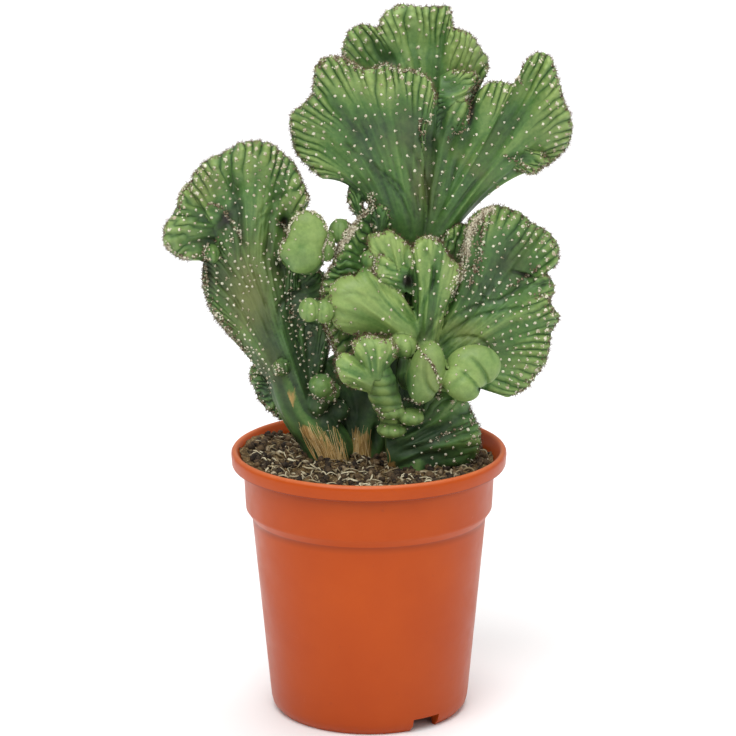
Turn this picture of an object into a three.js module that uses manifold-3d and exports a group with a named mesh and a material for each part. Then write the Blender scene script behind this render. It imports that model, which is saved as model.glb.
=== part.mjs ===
// A crested blue candle cactus in its round nursery pot: three fan-crested stems in potting soil.
// Millimetres, +Z up. The origin is on the pot's axis, in the plane that its foot ring stands on.
import * as THREE from "three";
import { mergeVertices } from "three/addons/utils/BufferGeometryUtils.js";
import Module from "manifold-3d";

const wasm = await Module();
wasm.setup();

// Driving dimensions of the pot, a common 17 cm one
const RIM_RADIUS = 85; // outermost, on the rolled lip
const RIM_TOP = 166.7;
const LIP_HEIGHT = 9.5;
const COLLAR_TOP_RADIUS = 77.4;
const COLLAR_FOOT_RADIUS = 76.2;
const COLLAR_FOOT = 129.5;
const STEP_RADIUS = 72.4;
const STEP_FOOT = 124.5;
const WALL_FOOT_RADIUS = 61.8;
const WALL_FOOT = 11;
const FOOT_RADIUS = 57.5;
const WALL = 1.9;
const FLOOR_UNDERSIDE = 6;
const FLOOR_TOP = 8.4;
const FOOT_WIDTH = 3; // flat ring that the pot stands on
const NOTCH_WIDTH = 19;
const NOTCH_HEIGHT = 8.5;
const NOTCH_ANGLES = [-55, 125]; // degrees from +X, the first at the front right
const DRAIN_HOLES = 4;
const DRAIN_RADIUS = 4;
const DRAIN_CIRCLE = 38;
const POT_SIDES = 32;

// Driving dimensions of the soil
const SOIL_LEVEL = 156.5; // mean height of its surface
const SOIL_RISE = 4.5; // how much higher it lies by the left edge
const SOIL_LUMP = 1.6; // height of the lumps
const SOIL_RINGS = 4;
const SOIL_SIDES = 26;
const CLEARANCE = 0.35; // between pieces that touch

// Driving dimensions of the plant's ribs and spines
const RIB_HEIGHT = 1.7; // crown of a rib over its valley, by the crest
const FLANK_FADE = 3; // how soon the ribs leave a lobe's flank for its hub
const SCALLOP = 1.5; // how far a rib's end stands out of the crest's outline
const SPINE_LENGTH = 4.2;
const SPINE_WIDTH = 0.9;
const SPINE_SINK = 1.2; // length of a spine's root inside the flesh
const ROOT_DEPTH = 118; // height at which the stems end inside the soil

// The outlines below were read from one standpoint in front of the pot, on the upright plane through
// its axis. A lobe that stands nearer or further keeps its place in that view and gets its true size.
const STANDPOINT = new THREE.Vector3(-0.4, -2000, 746);

function seen(x, z, depth) {
  const scale = (depth - STANDPOINT.y) / -STANDPOINT.y;
  return new THREE.Vector3(
    STANDPOINT.x + (x - STANDPOINT.x) * scale,
    depth,
    STANDPOINT.z + (z - STANDPOINT.z) * scale,
  );
}

// A smooth curve through flat points, walked by its length from 0 to 1
function smoothPath(points) {
  const curve = new THREE.SplineCurve(points.map(([x, z]) => new THREE.Vector2(x, z)));
  curve.arcLengthDivisions = points.length * 12;
  return (t) => curve.getPointAt(Math.min(1, Math.max(0, t)));
}

// Body of an indexed mesh from rows of vertices
function solidFrom(vertices, triangles) {
  const positions = new Float32Array(vertices.length * 3);
  vertices.forEach((p, i) => positions.set([p.x, p.y, p.z], i * 3));
  const mesh = new wasm.Mesh({
    numProp: 3,
    vertProperties: positions,
    triVerts: new Uint32Array(triangles),
  });
  const solid = new wasm.Manifold(mesh);
  if (solid.volume() > 0) return solid;
  for (let i = 0; i < triangles.length; i += 3) {
    [triangles[i + 1], triangles[i + 2]] = [triangles[i + 2], triangles[i + 1]];
  }
  return new wasm.Manifold(
    new wasm.Mesh({ numProp: 3, vertProperties: positions, triVerts: new Uint32Array(triangles) }),
  );
}

// Where the ribs of a fan run: from its narrow root, past its hub, to its crest
function fanSurface(spec) {
  const { root, edge, hub, ribs, thick, depth } = spec;
  const spread = spec.spread ?? 0.28;
  const lean = spec.lean ?? 0;
  const turn = spec.turn ?? 0;
  const curl = spec.curl ?? 0;
  const bow = spec.bow ?? 0;
  const ripple = spec.ripple ?? 0;
  const waves = spec.waves ?? 1.5;
  const phase = spec.phase ?? 0;
  const rib = (spec.rib ?? 1) * RIB_HEIGHT;
  const path = smoothPath(edge);
  const rootA = new THREE.Vector2(...root[0]);
  const rootB = new THREE.Vector2(...root[1]);
  const rootMiddle = rootA.clone().add(rootB).multiplyScalar(0.5);
  const rootHalf = rootB.clone().sub(rootA).multiplyScalar(0.5);
  const hubPoint = new THREE.Vector2(...hub);
  const flanks = [0, 1].map((k) =>
    spec.flanks?.[k]
      ? new THREE.Vector2(...spec.flanks[k])
      : [rootA, rootB][k].clone().lerp(path(k), 0.5),
  );
  const side = (u) => Math.sin(Math.PI * Math.min(1, Math.max(0, u)));
  const crown = (u) => Math.pow(Math.abs(Math.sin(Math.PI * ribs * u)), 0.6);

  function bend(u, grow) {
    const aside = -Math.cos(Math.PI * u);
    const widening = rootHalf.clone().setLength(grow * aside);
    const start = rootMiddle.clone().addScaledVector(rootHalf, aside).add(widening);
    const end = path(u);
    const inner = hubPoint.clone().lerp(end, spread);
    const flank = flanks[u < 0.5 ? 0 : 1];
    const middle = inner.lerp(flank, Math.pow(Math.abs(1 - 2 * u), FLANK_FADE));
    const out = end.clone().sub(middle);
    middle.add(widening);
    end.add(widening);
    const length = out.length();
    const scallop = (spec.rib ?? 1) * SCALLOP * (crown(u) - 0.6);
    end.addScaledVector(out.normalize(), scallop + grow);
    return { start, middle, end, length: length + start.distanceTo(middle) };
  }

  // Point of the front (face -1) or back (face 1), u across the ribs and v along them
  function point(u, v, face, grow = 0) {
    const { start, middle, end, length } = bend(u, grow);
    const place = start
      .multiplyScalar((1 - v) * (1 - v))
      .addScaledVector(middle, 2 * v * (1 - v))
      .addScaledVector(end, v * v);
    const body = thick[0] * (1 - v) ** 2 + 2 * thick[1] * v * (1 - v) + thick[2] * v * v;
    const rise = 0.15 + 0.85 * THREE.MathUtils.smoothstep(v, 0.25, 0.9);
    const relief = rib * rise * (crown(u) - 0.55);
    const capStart = Math.max(0.45, 1 - thick[2] / length);
    const over = Math.max(0, (v - capStart) / (1 - capStart));
    const cap = Math.sqrt(Math.max(0, 1 - over * over));
    const rounding = Math.pow(side(u), 1 - 0.72 * Math.min(1, v * 1.15));
    const half = (body + relief + grow) * cap * rounding;
    const away =
      depth +
      turn * (place.x - rootMiddle.x) +
      lean * (place.y - rootMiddle.y) +
      curl * v * v +
      bow * (2 * u - 1) ** 2 * v +
      ripple * v * v * Math.sin(2 * Math.PI * (waves * u + phase));
    return seen(place.x, place.y, away + face * half);
  }
  const capAt = (u) => Math.max(0.45, 1 - thick[2] / bend(u, 0).length);
  return { point, capAt, ribs };
}

// One crest lobe: a thick fan, ribbed on both faces, with a rounded crest
function fan(spec, grow = 0) {
  const surface = fanSurface(spec);
  const columns = Math.max(8, 2 * spec.ribs);
  const bodyRows = spec.rows ?? 3;
  const capRows = 2;
  const vertices = [];
  const front = [];
  const back = [];
  const add = (p) => vertices.push(p) - 1;
  for (let i = 0; i <= columns; i++) {
    const u = i / columns;
    const capStart = surface.capAt(u);
    const rows = [];
    for (let j = 0; j <= bodyRows; j++) rows.push((capStart * j) / bodyRows);
    for (let j = 1; j <= capRows; j++) {
      rows.push(capStart + (1 - capStart) * Math.sin((Math.PI / 2) * (j / capRows)));
    }
    const last = rows.length - 1;
    front.push([]);
    back.push([]);
    rows.forEach((v, j) => {
      const shared = i === 0 || i === columns || j === last;
      const f = add(surface.point(u, v, -1, grow));
      front[i].push(f);
      back[i].push(shared ? f : add(surface.point(u, v, 1, grow)));
    });
  }
  const triangles = [];
  const quad = (a, b, c, d) => {
    if (a !== b && b !== c && a !== c) triangles.push(a, b, c);
    if (a !== c && c !== d && a !== d) triangles.push(a, c, d);
  };
  const last = front[0].length - 1;
  for (let i = 0; i < columns; i++) {
    for (let j = 0; j < last; j++) {
      quad(front[i][j], front[i + 1][j], front[i + 1][j + 1], front[i][j + 1]);
      quad(back[i][j], back[i][j + 1], back[i + 1][j + 1], back[i + 1][j]);
    }
    quad(front[i][0], back[i][0], back[i + 1][0], front[i + 1][0]);
  }
  return solidFrom(vertices, triangles);
}

// A trunk or neck: oval rings one over another, each [x, z, depth, half width, half depth]
function trunk(spec, grow = 0) {
  const sides = spec.sides ?? 14;
  const ribs = spec.ribs ?? 0;
  const vertices = [];
  const triangles = [];
  for (const [x, z, depth, halfWidth, halfDepth] of spec.rings) {
    const centre = seen(x, z, depth);
    for (let i = 0; i < sides; i++) {
      const angle = (2 * Math.PI * i) / sides;
      const swell = 1 + 0.07 * Math.cos(ribs * angle);
      vertices.push(
        new THREE.Vector3(
          centre.x + (halfWidth + grow) * swell * Math.cos(angle),
          centre.y + (halfDepth + grow) * swell * Math.sin(angle),
          centre.z,
        ),
      );
    }
  }
  const rings = spec.rings.length;
  const bottom = vertices.push(seen(...spec.rings[0])) - 1;
  const top = vertices.push(seen(...spec.rings[rings - 1])) - 1;
  for (let i = 0; i < sides; i++) {
    const next = (i + 1) % sides;
    for (let r = 0; r < rings - 1; r++) {
      const a = r * sides;
      const b = a + sides;
      triangles.push(a + i, a + next, b + next, a + i, b + next, b + i);
    }
    triangles.push(bottom, next, i);
    triangles.push(top, (rings - 1) * sides + i, (rings - 1) * sides + next);
  }
  return solidFrom(vertices, triangles);
}

// A small smooth knob or pad: an egg, turned in the plane of the view
function knob(spec, grow = 0) {
  const [x, z, depth] = spec.at;
  const [halfWidth, halfHeight, halfDepth] = spec.size;
  const geometry = new THREE.SphereGeometry(1, spec.sides ?? 8, spec.rings ?? 5);
  geometry.rotateX(Math.PI / 2);
  geometry.scale(halfWidth + grow, halfDepth + grow, halfHeight + grow);
  geometry.rotateY(THREE.MathUtils.degToRad(spec.tilt ?? 0));
  const centre = seen(x, z, depth);
  geometry.translate(centre.x, centre.y, centre.z);
  return solidOf(geometry);
}

function solidOf(geometry) {
  geometry.deleteAttribute("normal");
  geometry.deleteAttribute("uv");
  const merged = mergeVertices(geometry, 1e-4);
  const index = merged.index.array;
  const kept = [];
  for (let i = 0; i < index.length; i += 3) {
    const [a, b, c] = [index[i], index[i + 1], index[i + 2]];
    if (a !== b && b !== c && a !== c) kept.push(a, b, c);
  }
  return new wasm.Manifold(
    new wasm.Mesh({
      numProp: 3,
      vertProperties: merged.attributes.position.array,
      triVerts: new Uint32Array(kept),
    }),
  );
}

// Spines on the crests: three-sided needles with their roots sunk in the flesh
function needle(base, direction) {
  const along = direction.clone().normalize();
  const across = new THREE.Vector3(0.3, 0.5, 0.8).cross(along).normalize();
  const other = along.clone().cross(across);
  const vertices = [base.clone().addScaledVector(along, SPINE_LENGTH)];
  for (let i = 0; i < 3; i++) {
    const angle = (2 * Math.PI * i) / 3;
    vertices.push(
      base
        .clone()
        .addScaledVector(along, -SPINE_SINK)
        .addScaledVector(across, SPINE_WIDTH * Math.cos(angle))
        .addScaledVector(other, SPINE_WIDTH * Math.sin(angle)),
    );
  }
  return solidFrom(vertices, [0, 1, 2, 0, 2, 3, 0, 3, 1, 3, 2, 1]);
}

function spinesOf(spec) {
  const surface = fanSurface(spec);
  const needles = [];
  const broad = spec.ribs > 6;
  const step = broad ? 2 : 3;
  const at = (u, v, face) => {
    const base = surface.point(u, v, face);
    const inner = surface.point(u, v - 0.12, face);
    const along = base.clone().sub(inner).normalize();
    const out = new THREE.Vector3(0, face, 0);
    needles.push(needle(base, out.addScaledVector(along, v > 0.9 ? 1.6 : 0.5)));
  };
  for (let k = 0; k < surface.ribs; k += step) {
    const u = (k + 0.5) / surface.ribs;
    const cap = surface.capAt(u);
    const face = (k / step) % 2 < 1 ? -1 : 1;
    at(u, cap + 0.5 * (1 - cap), face);
    if (broad && k % (2 * step) === 0) at(u, cap * 0.7, -face);
  }
  return needles;
}

// The upper crest: the tallest stem, with its lobes from left to right
const UPPER_CREST = {
  trunks: [
    {
      ribs: 7,
      rings: [
        [-4, ROOT_DEPTH, 24, 12, 11],
        [-4, 158, 22, 13, 12],
        [2, 186, 22, 13.5, 12],
        [10, 218, 22, 12.5, 12],
        [20, 256, 22, 12, 12],
        [27, 286, 20, 14, 12],
        [31, 308, 16, 15, 9],
        [33, 326, 12, 6, 4],
      ],
    },
  ],
  fans: [
    // The broad left lobe, whose ribs run from the stem to the left edge
    {
      root: [[15, 290], [34, 288]],
      hub: [16, 344],
      flanks: [[5, 331], null],
      edge: [
        [-42, 350], [-46, 359],
        [-47, 369], [-46, 375], [-40, 380], [-34, 386], [-33, 393], [-31, 403], [-27, 409],
        [-21, 410], [-15, 406], [-6, 402], [4, 396], [14, 388], [22, 378],
      ],
      depth: 12, lean: -0.16, turn: 0.05, curl: -2, ripple: 6, waves: 2,
      ribs: 12, thick: [10, 9, 6.5],
    },
    // The lobe that folds over in front of it
    {
      root: [[10, 346], [29, 350]],
      hub: [17, 366],
      edge: [
        [-10, 368], [-15, 382], [-19, 396], [-18, 406], [-11, 408], [-5, 405], [0, 401], [5, 405],
        [12, 405], [18, 402], [25, 402], [31, 401], [36, 397], [39, 391], [39, 384], [36, 375],
        [33, 368],
      ],
      depth: -1, lean: -0.16, curl: 1, bow: 4,
      ribs: 9, thick: [4, 11, 7.5], rows: 2,
    },
    // The high lobe behind
    {
      root: [[22, 330], [48, 334]],
      hub: [34, 394],
      edge: [
        [-11, 402], [-15, 411], [-14, 419], [-11, 425], [-5, 429], [1, 429], [6, 427],
        [8, 433], [13, 438], [21, 441], [31, 440], [41, 440], [48, 440], [50, 434], [51, 427],
        [56, 426], [62, 423], [67, 416], [71, 409], [72, 402], [69, 395],
      ],
      depth: 20, lean: 0.12, ripple: 6, waves: 2, phase: 0.3,
      ribs: 13, thick: [5, 10, 6.5], rows: 2,
    },
    // The small one in the middle, whose ribs lie level
    {
      root: [[43, 398], [41, 356]],
      hub: [48, 380],
      edge: [
        [50, 402], [58, 401], [66, 399], [68, 395], [63, 391], [62, 385], [61, 378], [59, 371],
        [54, 364], [48, 357],
      ],
      depth: 15, bow: -2,
      ribs: 6, thick: [8, 10, 7], rows: 2,
    },
    // The right lobe with its raised horn
    {
      root: [[28, 290], [46, 294]],
      hub: [58, 342],
      flanks: [null, [80, 330]],
      edge: [
        [67, 391], [73, 396], [79, 397], [85, 395], [91, 394], [97, 396], [105, 399], [112, 395],
        [116, 387], [119, 379], [122, 372], [122, 366], [121, 358], [115, 351],
      ],
      depth: 15, lean: -0.08, turn: -0.03, ripple: -6, waves: 2,
      ribs: 11, thick: [10, 10, 6.5],
    },
    {
      root: [[88, 378], [110, 372]],
      hub: [101, 392],
      edge: [[87, 394], [90, 404], [97, 411], [103, 413], [109, 411], [113, 405], [115, 394]],
      depth: 11, ribs: 5, thick: [7, 9, 7], rows: 2,
    },
    // The web between the two
    {
      root: [[18, 292], [42, 294]],
      hub: [32, 334],
      edge: [
        [0, 342], [2, 356], [10, 370], [22, 379], [34, 384], [48, 386], [60, 384], [67, 374],
        [69, 360], [70, 346],
      ],
      depth: 19, lean: -0.03,
      ribs: 6, thick: [10, 10, 7], rib: 0.6, rows: 2,
    },
    {
      root: [[84, 356], [86, 343]],
      hub: [92, 349],
      edge: [[88, 357], [97, 354], [105, 351], [109, 347], [105, 342], [99, 338], [92, 340], [87, 341]],
      depth: 6,
      ribs: 4, thick: [4, 7, 5.5], rows: 2,
    },
    // Small lobes low on the stem, left of it
    {
      root: [[4, 300], [11, 299]],
      hub: [8, 308],
      edge: [[1, 306], [1, 313], [3, 320], [8, 322], [12, 318], [13, 311], [14, 305]],
      depth: 4, ribs: 4, thick: [7, 8, 6], rows: 2,
    },
    {
      root: [[-3, 306], [0, 303]],
      hub: [-6, 318],
      edge: [[-8, 313], [-12, 320], [-12, 328], [-9, 333], [-5, 333], [-4, 326], [-2, 313]],
      depth: 8, ribs: 3, thick: [5, 5.5, 4.5], rows: 2,
    },
    // The spiny crest that runs down between the stems, seen on its edge
    {
      root: [[16, 300], [8, 232]],
      hub: [-8, 274],
      flanks: [[8, 314], [-8, 226]],
      edge: [
        [3, 321], [-3, 312], [-11, 306], [-16, 296], [-21, 284], [-27, 273], [-29, 260], [-27, 247],
        [-24, 236], [-20, 226], [-18, 218],
      ],
      depth: 9, turn: 0.45, ribs: 6, thick: [8, 10, 7], rows: 2,
    },
  ],
  knobs: [
    { at: [-13, 304, -3], size: [7, 7, 7] },
    { at: [-13, 287, 6], size: [8, 12, 9], tilt: 20 },
  ],
};

// The left crest: a tall broad body under a domed crest, with a drooping lobe at its left
const LEFT_CREST = {
  trunks: [
    {
      ribs: 8,
      rings: [
        [-26, ROOT_DEPTH, 14, 10, 10],
        [-27, 156, 13, 11.5, 11],
        [-33, 172, 12, 12, 11],
        [-42, 192, 11, 12, 10],
        [-51, 215, 9, 12, 9],
        [-58, 236, 7, 9, 6],
      ],
    },
  ],
  fans: [
    // The broad body
    {
      root: [[-39, 168], [-20, 165]],
      hub: [-54, 226],
      flanks: [[-62, 218], [-24, 208]],
      edge: [
        [-84, 234], [-90, 242], [-95, 248], [-98, 256],
        [-100, 262], [-102, 270], [-102, 278], [-101, 286], [-96, 296], [-88, 303], [-78, 308],
        [-66, 309], [-57, 304], [-51, 294], [-47, 282], [-42, 270], [-38, 256],
      ],
      depth: 11, lean: -0.05, bow: 5,
      ribs: 13, thick: [10, 13, 7],
    },
    // The dome, whose left lip overhangs
    {
      root: [[-80, 262], [-56, 262]],
      hub: [-68, 314],
      flanks: [[-91, 306], [-50, 296]],
      edge: [
        [-108, 329],
        [-105, 339], [-100, 344], [-95, 348], [-89, 351], [-85, 353], [-81, 356], [-75, 358],
        [-68, 359], [-60, 357], [-54, 353], [-48, 348], [-43, 343], [-41, 338], [-38, 331],
        [-36, 324], [-38, 316],
      ],
      depth: 4, lean: -0.1, ripple: 5, waves: 1.5, bow: 3,
      ribs: 13, thick: [6, 13, 7.5],
    },
    // The lobe that droops at the left
    {
      root: [[-78, 290], [-82, 314]],
      hub: [-97, 306],
      flanks: [[-93, 284], [-94, 319]],
      edge: [
        [-108, 285], [-117, 288], [-121, 292], [-124, 297],
        [-124, 303], [-122, 309], [-119, 313], [-116, 320], [-115, 324], [-113, 329], [-108, 334],
      ],
      depth: 7, bow: -2, turn: -0.15,
      ribs: 8, thick: [8, 11, 7.5], rows: 2,
    },
    // The dark lobe low behind the stem
    {
      root: [[-49, 190], [-54, 213]],
      hub: [-60, 203],
      edge: [
        [-53, 184], [-59, 188], [-65, 194], [-69, 200], [-71, 206], [-73, 212], [-71, 219], [-66, 224],
      ],
      depth: 18, turn: -0.4, ribs: 5, thick: [10, 9, 6], rows: 2,
    },
    // The fold down the body's right side
    {
      root: [[-52, 274], [-46, 236]],
      hub: [-40, 255],
      edge: [[-44, 279], [-38, 272], [-33, 263], [-32, 253], [-34, 244], [-38, 236]],
      depth: 7, turn: -0.5, ribs: 5, thick: [9, 9, 6], rows: 2,
    },
    // The smooth lobe right of the stem
    {
      root: [[-41, 186], [-33, 184]],
      hub: [-37, 214],
      flanks: [null, [-32, 206]],
      edge: [
        [-46, 214], [-48, 230], [-44, 243], [-36, 249], [-28, 246], [-24, 237], [-25, 223],
      ],
      depth: 13, ribs: 5, thick: [9, 10, 7], rib: 0.6, rows: 2,
    },
    // The young pale pad in front
    {
      root: [[-43, 284], [-37, 283]],
      hub: [-40, 292],
      edge: [
        [-46, 279], [-52, 284], [-54, 290], [-52, 296], [-48, 300], [-47, 307], [-44, 313],
        [-39, 316], [-33, 315], [-28, 311], [-25, 305], [-25, 299], [-28, 293], [-28, 286],
        [-32, 280], [-38, 276],
      ],
      depth: -17, ribs: 6, thick: [10, 10, 8], rib: 0.35, rows: 2,
    },
  ],
  knobs: [
    { at: [-95, 289, 0], size: [5, 5.5, 5] },
    { at: [-49, 284, -4], size: [11, 8, 14], tilt: 20 },
    { at: [-54, 217, -4], size: [5, 5, 6] },
    { at: [-28, 204, -4], size: [8.5, 9, 9] },
    { at: [-21, 192, 6], size: [6, 8, 8] },
    { at: [-32, 192, 4], size: [8, 10, 9] },
    { at: [-24, 182, 8], size: [8, 11, 8] },
  ],
};

// The right crest: a low ribbed trunk that carries the broad right fan and a cluster of young lobes
const RIGHT_CREST = {
  trunks: [
    {
      ribs: 9,
      rings: [
        [26, ROOT_DEPTH, -4, 13, 12],
        [27, 154, -4, 15, 13],
        [29, 172, -3, 16, 13],
        [33, 192, -3, 15, 12],
        [36, 214, -4, 13, 11],
        [36, 234, -3, 8, 7],
      ],
    },
    {
      sides: 10,
      rings: [
        [14, 178, -18, 9, 9],
        [11, 190, -27, 9, 9],
        [9, 200, -34, 9, 8],
        [7, 212, -38, 9.5, 8],
        [4, 222, -40, 6, 5],
      ],
    },
  ],
  fans: [
    // The broad fan
    {
      root: [[24, 222], [42, 206]],
      hub: [62, 244],
      flanks: [null, [60, 208]],
      edge: [
        [46, 266], [56, 274], [68, 280], [82, 282], [96, 281], [106, 280], [113, 277], [114, 271],
        [112, 264], [111, 259], [114, 253], [117, 250], [116, 246], [112, 240], [111, 234],
        [110, 227], [108, 220], [104, 214], [100, 207], [94, 202], [85, 198],
      ],
      depth: 0, turn: 0.12, bow: -3, ripple: 6, waves: 2.5,
      ribs: 12, thick: [9, 10, 6.5],
    },
    // The lobe over it, rolled forward at its left edge
    {
      root: [[54, 240], [76, 248]],
      hub: [72, 278],
      flanks: [[59, 262], [89, 263]],
      edge: [
        [57, 276], [58, 292], [60, 301], [61, 310], [65, 314], [71, 317],
        [79, 319], [86, 317], [94, 313], [99, 308], [106, 304], [111, 300], [115, 295], [116, 289],
        [113, 279],
      ],
      depth: 5, lean: 0.03, bow: -6, curl: -3,
      ribs: 11, thick: [5, 11, 6.5], rows: 2,
    },
    // The narrow fan in the middle
    {
      root: [[25, 226], [40, 222]],
      hub: [37, 262],
      flanks: [[27, 248], [44, 249]],
      edge: [
        [26, 270], [27, 283], [27, 291], [29, 297], [34, 300], [38, 300], [43, 297],
        [46, 293], [50, 286], [55, 282], [56, 277], [54, 271],
      ],
      depth: -10, bow: 4,
      ribs: 7, thick: [10, 12, 7], rib: 0.7, rows: 2,
    },
    // The large pale lobe that points left
    {
      root: [[26, 226], [33, 244]],
      hub: [6, 254],
      flanks: [[10, 236], null],
      edge: [
        [-11, 238], [-20, 243], [-23, 249], [-24, 258],
        [-24, 266], [-22, 270], [-18, 274], [-11, 276], [-8, 275], [-4, 280], [0, 279], [6, 275],
        [14, 270], [19, 266], [24, 258],
      ],
      depth: -15, turn: 0.12, bow: 2,
      ribs: 7, thick: [9, 16, 10], rib: 0.45, rows: 2,
    },
    {
      root: [[0, 210], [9, 209]],
      hub: [4, 222],
      flanks: [[-3, 219], [11, 217]],
      edge: [
        [-9, 226], [-10, 233], [-5, 237], [2, 238], [8, 236], [14, 235], [18, 230],
        [17, 223],
      ],
      depth: -41, ribs: 5, thick: [6, 10, 7.5], rib: 0.5, rows: 2,
    },
    {
      root: [[1, 201], [4, 213]],
      hub: [-10, 213],
            edge: [
        [-9, 204], [-16, 208], [-19, 214], [-20, 222], [-16, 227], [-10, 226],
      ],
      depth: -41, ribs: 5, thick: [6, 9, 7], rib: 0.4, rows: 2,
    },
    // The pair of pale pads at the right
    {
      root: [[42, 216], [42, 202]],
      hub: [58, 218],
      flanks: [null, [55, 204]],
      edge: [
        [48, 222], [55, 228], [61, 231], [68, 232], [76, 230], [80, 226], [79, 219],
        [76, 212], [69, 205],
      ],
      depth: -26, ribs: 5, thick: [7, 11, 8], rib: 0.4, rows: 2,
    },
    {
      root: [[44, 216], [46, 202]],
      hub: [57, 209],
      flanks: [null, [51, 199]],
      edge: [
        [52, 220], [58, 219], [64, 214], [69, 208], [70, 203], [67, 199], [62, 196], [57, 196],
      ],
      depth: -34, ribs: 4, thick: [6, 10, 8], rib: 0.4, rows: 2,
    },
    // The low crest by the soil
    {
      root: [[10, 174], [12, 152]],
      hub: [38, 172],
      flanks: [[18, 190], [34, 150]],
      edge: [
        [36, 205], [47, 204], [57, 200], [63, 191], [65, 185], [68, 179], [69, 172], [68, 163],
        [62, 155],
      ],
      depth: -13, turn: 0.12, bow: -2, ribs: 8, thick: [9, 15, 8], rows: 2,
    },
    {
      root: [[14, 270], [28, 262]],
      hub: [14, 288],
      flanks: [null, [28, 272]],
      edge: [
        [2, 286], [0, 294], [0, 301], [7, 302], [13, 304], [17, 301], [23, 296], [28, 291],
        [30, 284],
      ],
      depth: -12, ribs: 5, thick: [8, 9, 6], rib: 0.5, rows: 2,
    },
    {
      root: [[22, 264], [25, 280]],
      hub: [14, 276],
      flanks: [null, [19, 283]],
      edge: [[15, 265], [8, 270], [3, 277], [4, 284], [7, 289], [13, 288]],
      depth: -16, ribs: 4, thick: [7, 8, 6.5], rib: 0.6, rows: 2,
    },
    {
      root: [[38, 258], [52, 266]],
      hub: [48, 284],
      edge: [[43, 291], [46, 300], [51, 302], [56, 300], [58, 291], [57, 282]],
      depth: 0, ribs: 4, thick: [7, 8, 6], rows: 2,
    },
  ],
  knobs: [
    { at: [-36, 254, -27], size: [6.5, 7.5, 7] },
    { at: [-27, 253, -25], size: [6, 7.5, 7] },
    { at: [21, 231, -28], size: [7, 6, 8] },
    { at: [23, 216, -22], size: [6, 13, 9] },
    { at: [36, 214, -34], size: [11, 19.5, 13], tilt: 14, sides: 10, rings: 8 },
    { at: [14, 190, -28], size: [8, 5, 8] },
    { at: [14, 178, -22], size: [9, 5, 9] },
    { at: [26, 186, -26], size: [8, 5.5, 9] },
    { at: [0, 285, -14], size: [5, 6, 6] },
    { at: [33, 222, -14], size: [12, 16, 12] },
  ],
};

// The flesh of one crested stem, joined to one solid; grown by a little, it cuts its neighbours
function flesh(crest, grow = 0) {
  const pieces = [
    ...crest.trunks.map((spec) => trunk(spec, grow)),
    ...crest.fans.map((spec) => fan(spec, grow)),
    ...crest.knobs.map((spec) => knob(spec, grow)),
  ];
  return pieces.reduce((joined, piece) => joined.add(piece));
}

function largest(solid) {
  const bodies = solid.decompose();
  bodies.sort((a, b) => b.volume() - a.volume());
  return bodies[0];
}

// Joins the spines that stand clear of the other stems and the soil
function withSpines(solid, crest, others) {
  let joined = solid;
  for (const spine of crest.fans.flatMap(spinesOf)) {
    const clear = others.every((other) => spine.intersect(other).isEmpty());
    if (clear) joined = joined.add(spine);
  }
  return joined;
}

// The pot: a thin lathed shell with a rolled lip, a collar, a raised floor and a notched foot
function potSolid() {
  const lipFoot = RIM_TOP - LIP_HEIGHT;
  const profile = [
    [0, FLOOR_UNDERSIDE],
    [FOOT_RADIUS - FOOT_WIDTH - 1, FLOOR_UNDERSIDE],
    [FOOT_RADIUS - FOOT_WIDTH, 0],
    [FOOT_RADIUS, 0],
    [WALL_FOOT_RADIUS - 1.3, 4],
    [WALL_FOOT_RADIUS, WALL_FOOT],
    [STEP_RADIUS, STEP_FOOT],
    [COLLAR_FOOT_RADIUS, COLLAR_FOOT],
    [COLLAR_TOP_RADIUS, lipFoot - 1.2],
    [RIM_RADIUS - 0.6, lipFoot],
    [RIM_RADIUS, RIM_TOP - 2.8],
    [RIM_RADIUS - 1, RIM_TOP - 0.7],
    [RIM_RADIUS - 2.8, RIM_TOP],
    [RIM_RADIUS - 5.4, RIM_TOP - 3],
    [COLLAR_TOP_RADIUS - WALL, lipFoot - 3],
    [COLLAR_FOOT_RADIUS - WALL, COLLAR_FOOT],
    [STEP_RADIUS - WALL, STEP_FOOT],
    [WALL_FOOT_RADIUS - WALL, WALL_FOOT],
    [FOOT_RADIUS - WALL, FLOOR_TOP],
    [0, FLOOR_TOP],
  ];
  const geometry = new THREE.LatheGeometry(
    profile.map(([r, z]) => new THREE.Vector2(r, z)),
    POT_SIDES,
  );
  geometry.rotateX(Math.PI / 2);
  let pot = solidOf(geometry);
  for (const angle of NOTCH_ANGLES) {
    const notch = new THREE.BoxGeometry(20, NOTCH_WIDTH, 2 * NOTCH_HEIGHT);
    notch.translate(FOOT_RADIUS + 4, 0, 0);
    notch.rotateZ(THREE.MathUtils.degToRad(angle));
    pot = pot.subtract(solidOf(notch));
  }
  for (let i = 0; i < DRAIN_HOLES; i++) {
    const hole = new THREE.CylinderGeometry(DRAIN_RADIUS, DRAIN_RADIUS, 12, 8);
    hole.rotateX(Math.PI / 2);
    const angle = (2 * Math.PI * (i + 0.5)) / DRAIN_HOLES;
    hole.translate(
      DRAIN_CIRCLE * Math.cos(angle),
      DRAIN_CIRCLE * Math.sin(angle),
      (FLOOR_UNDERSIDE + FLOOR_TOP) / 2,
    );
    pot = pot.subtract(solidOf(hole));
  }
  return pot;
}

function soilHeight(x, y) {
  const radius = Math.hypot(x, y);
  const lumps =
    Math.sin(x * 0.23 + 1) * Math.cos(y * 0.21) + 0.6 * Math.sin(x * 0.47 - y * 0.39 + 2);
  const edge = THREE.MathUtils.smoothstep(radius, 55, 76);
  const rise = SOIL_RISE * THREE.MathUtils.smoothstep(-x, 30, 76);
  return SOIL_LEVEL + SOIL_LUMP * lumps * (1 - 0.5 * edge) + rise;
}

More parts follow.
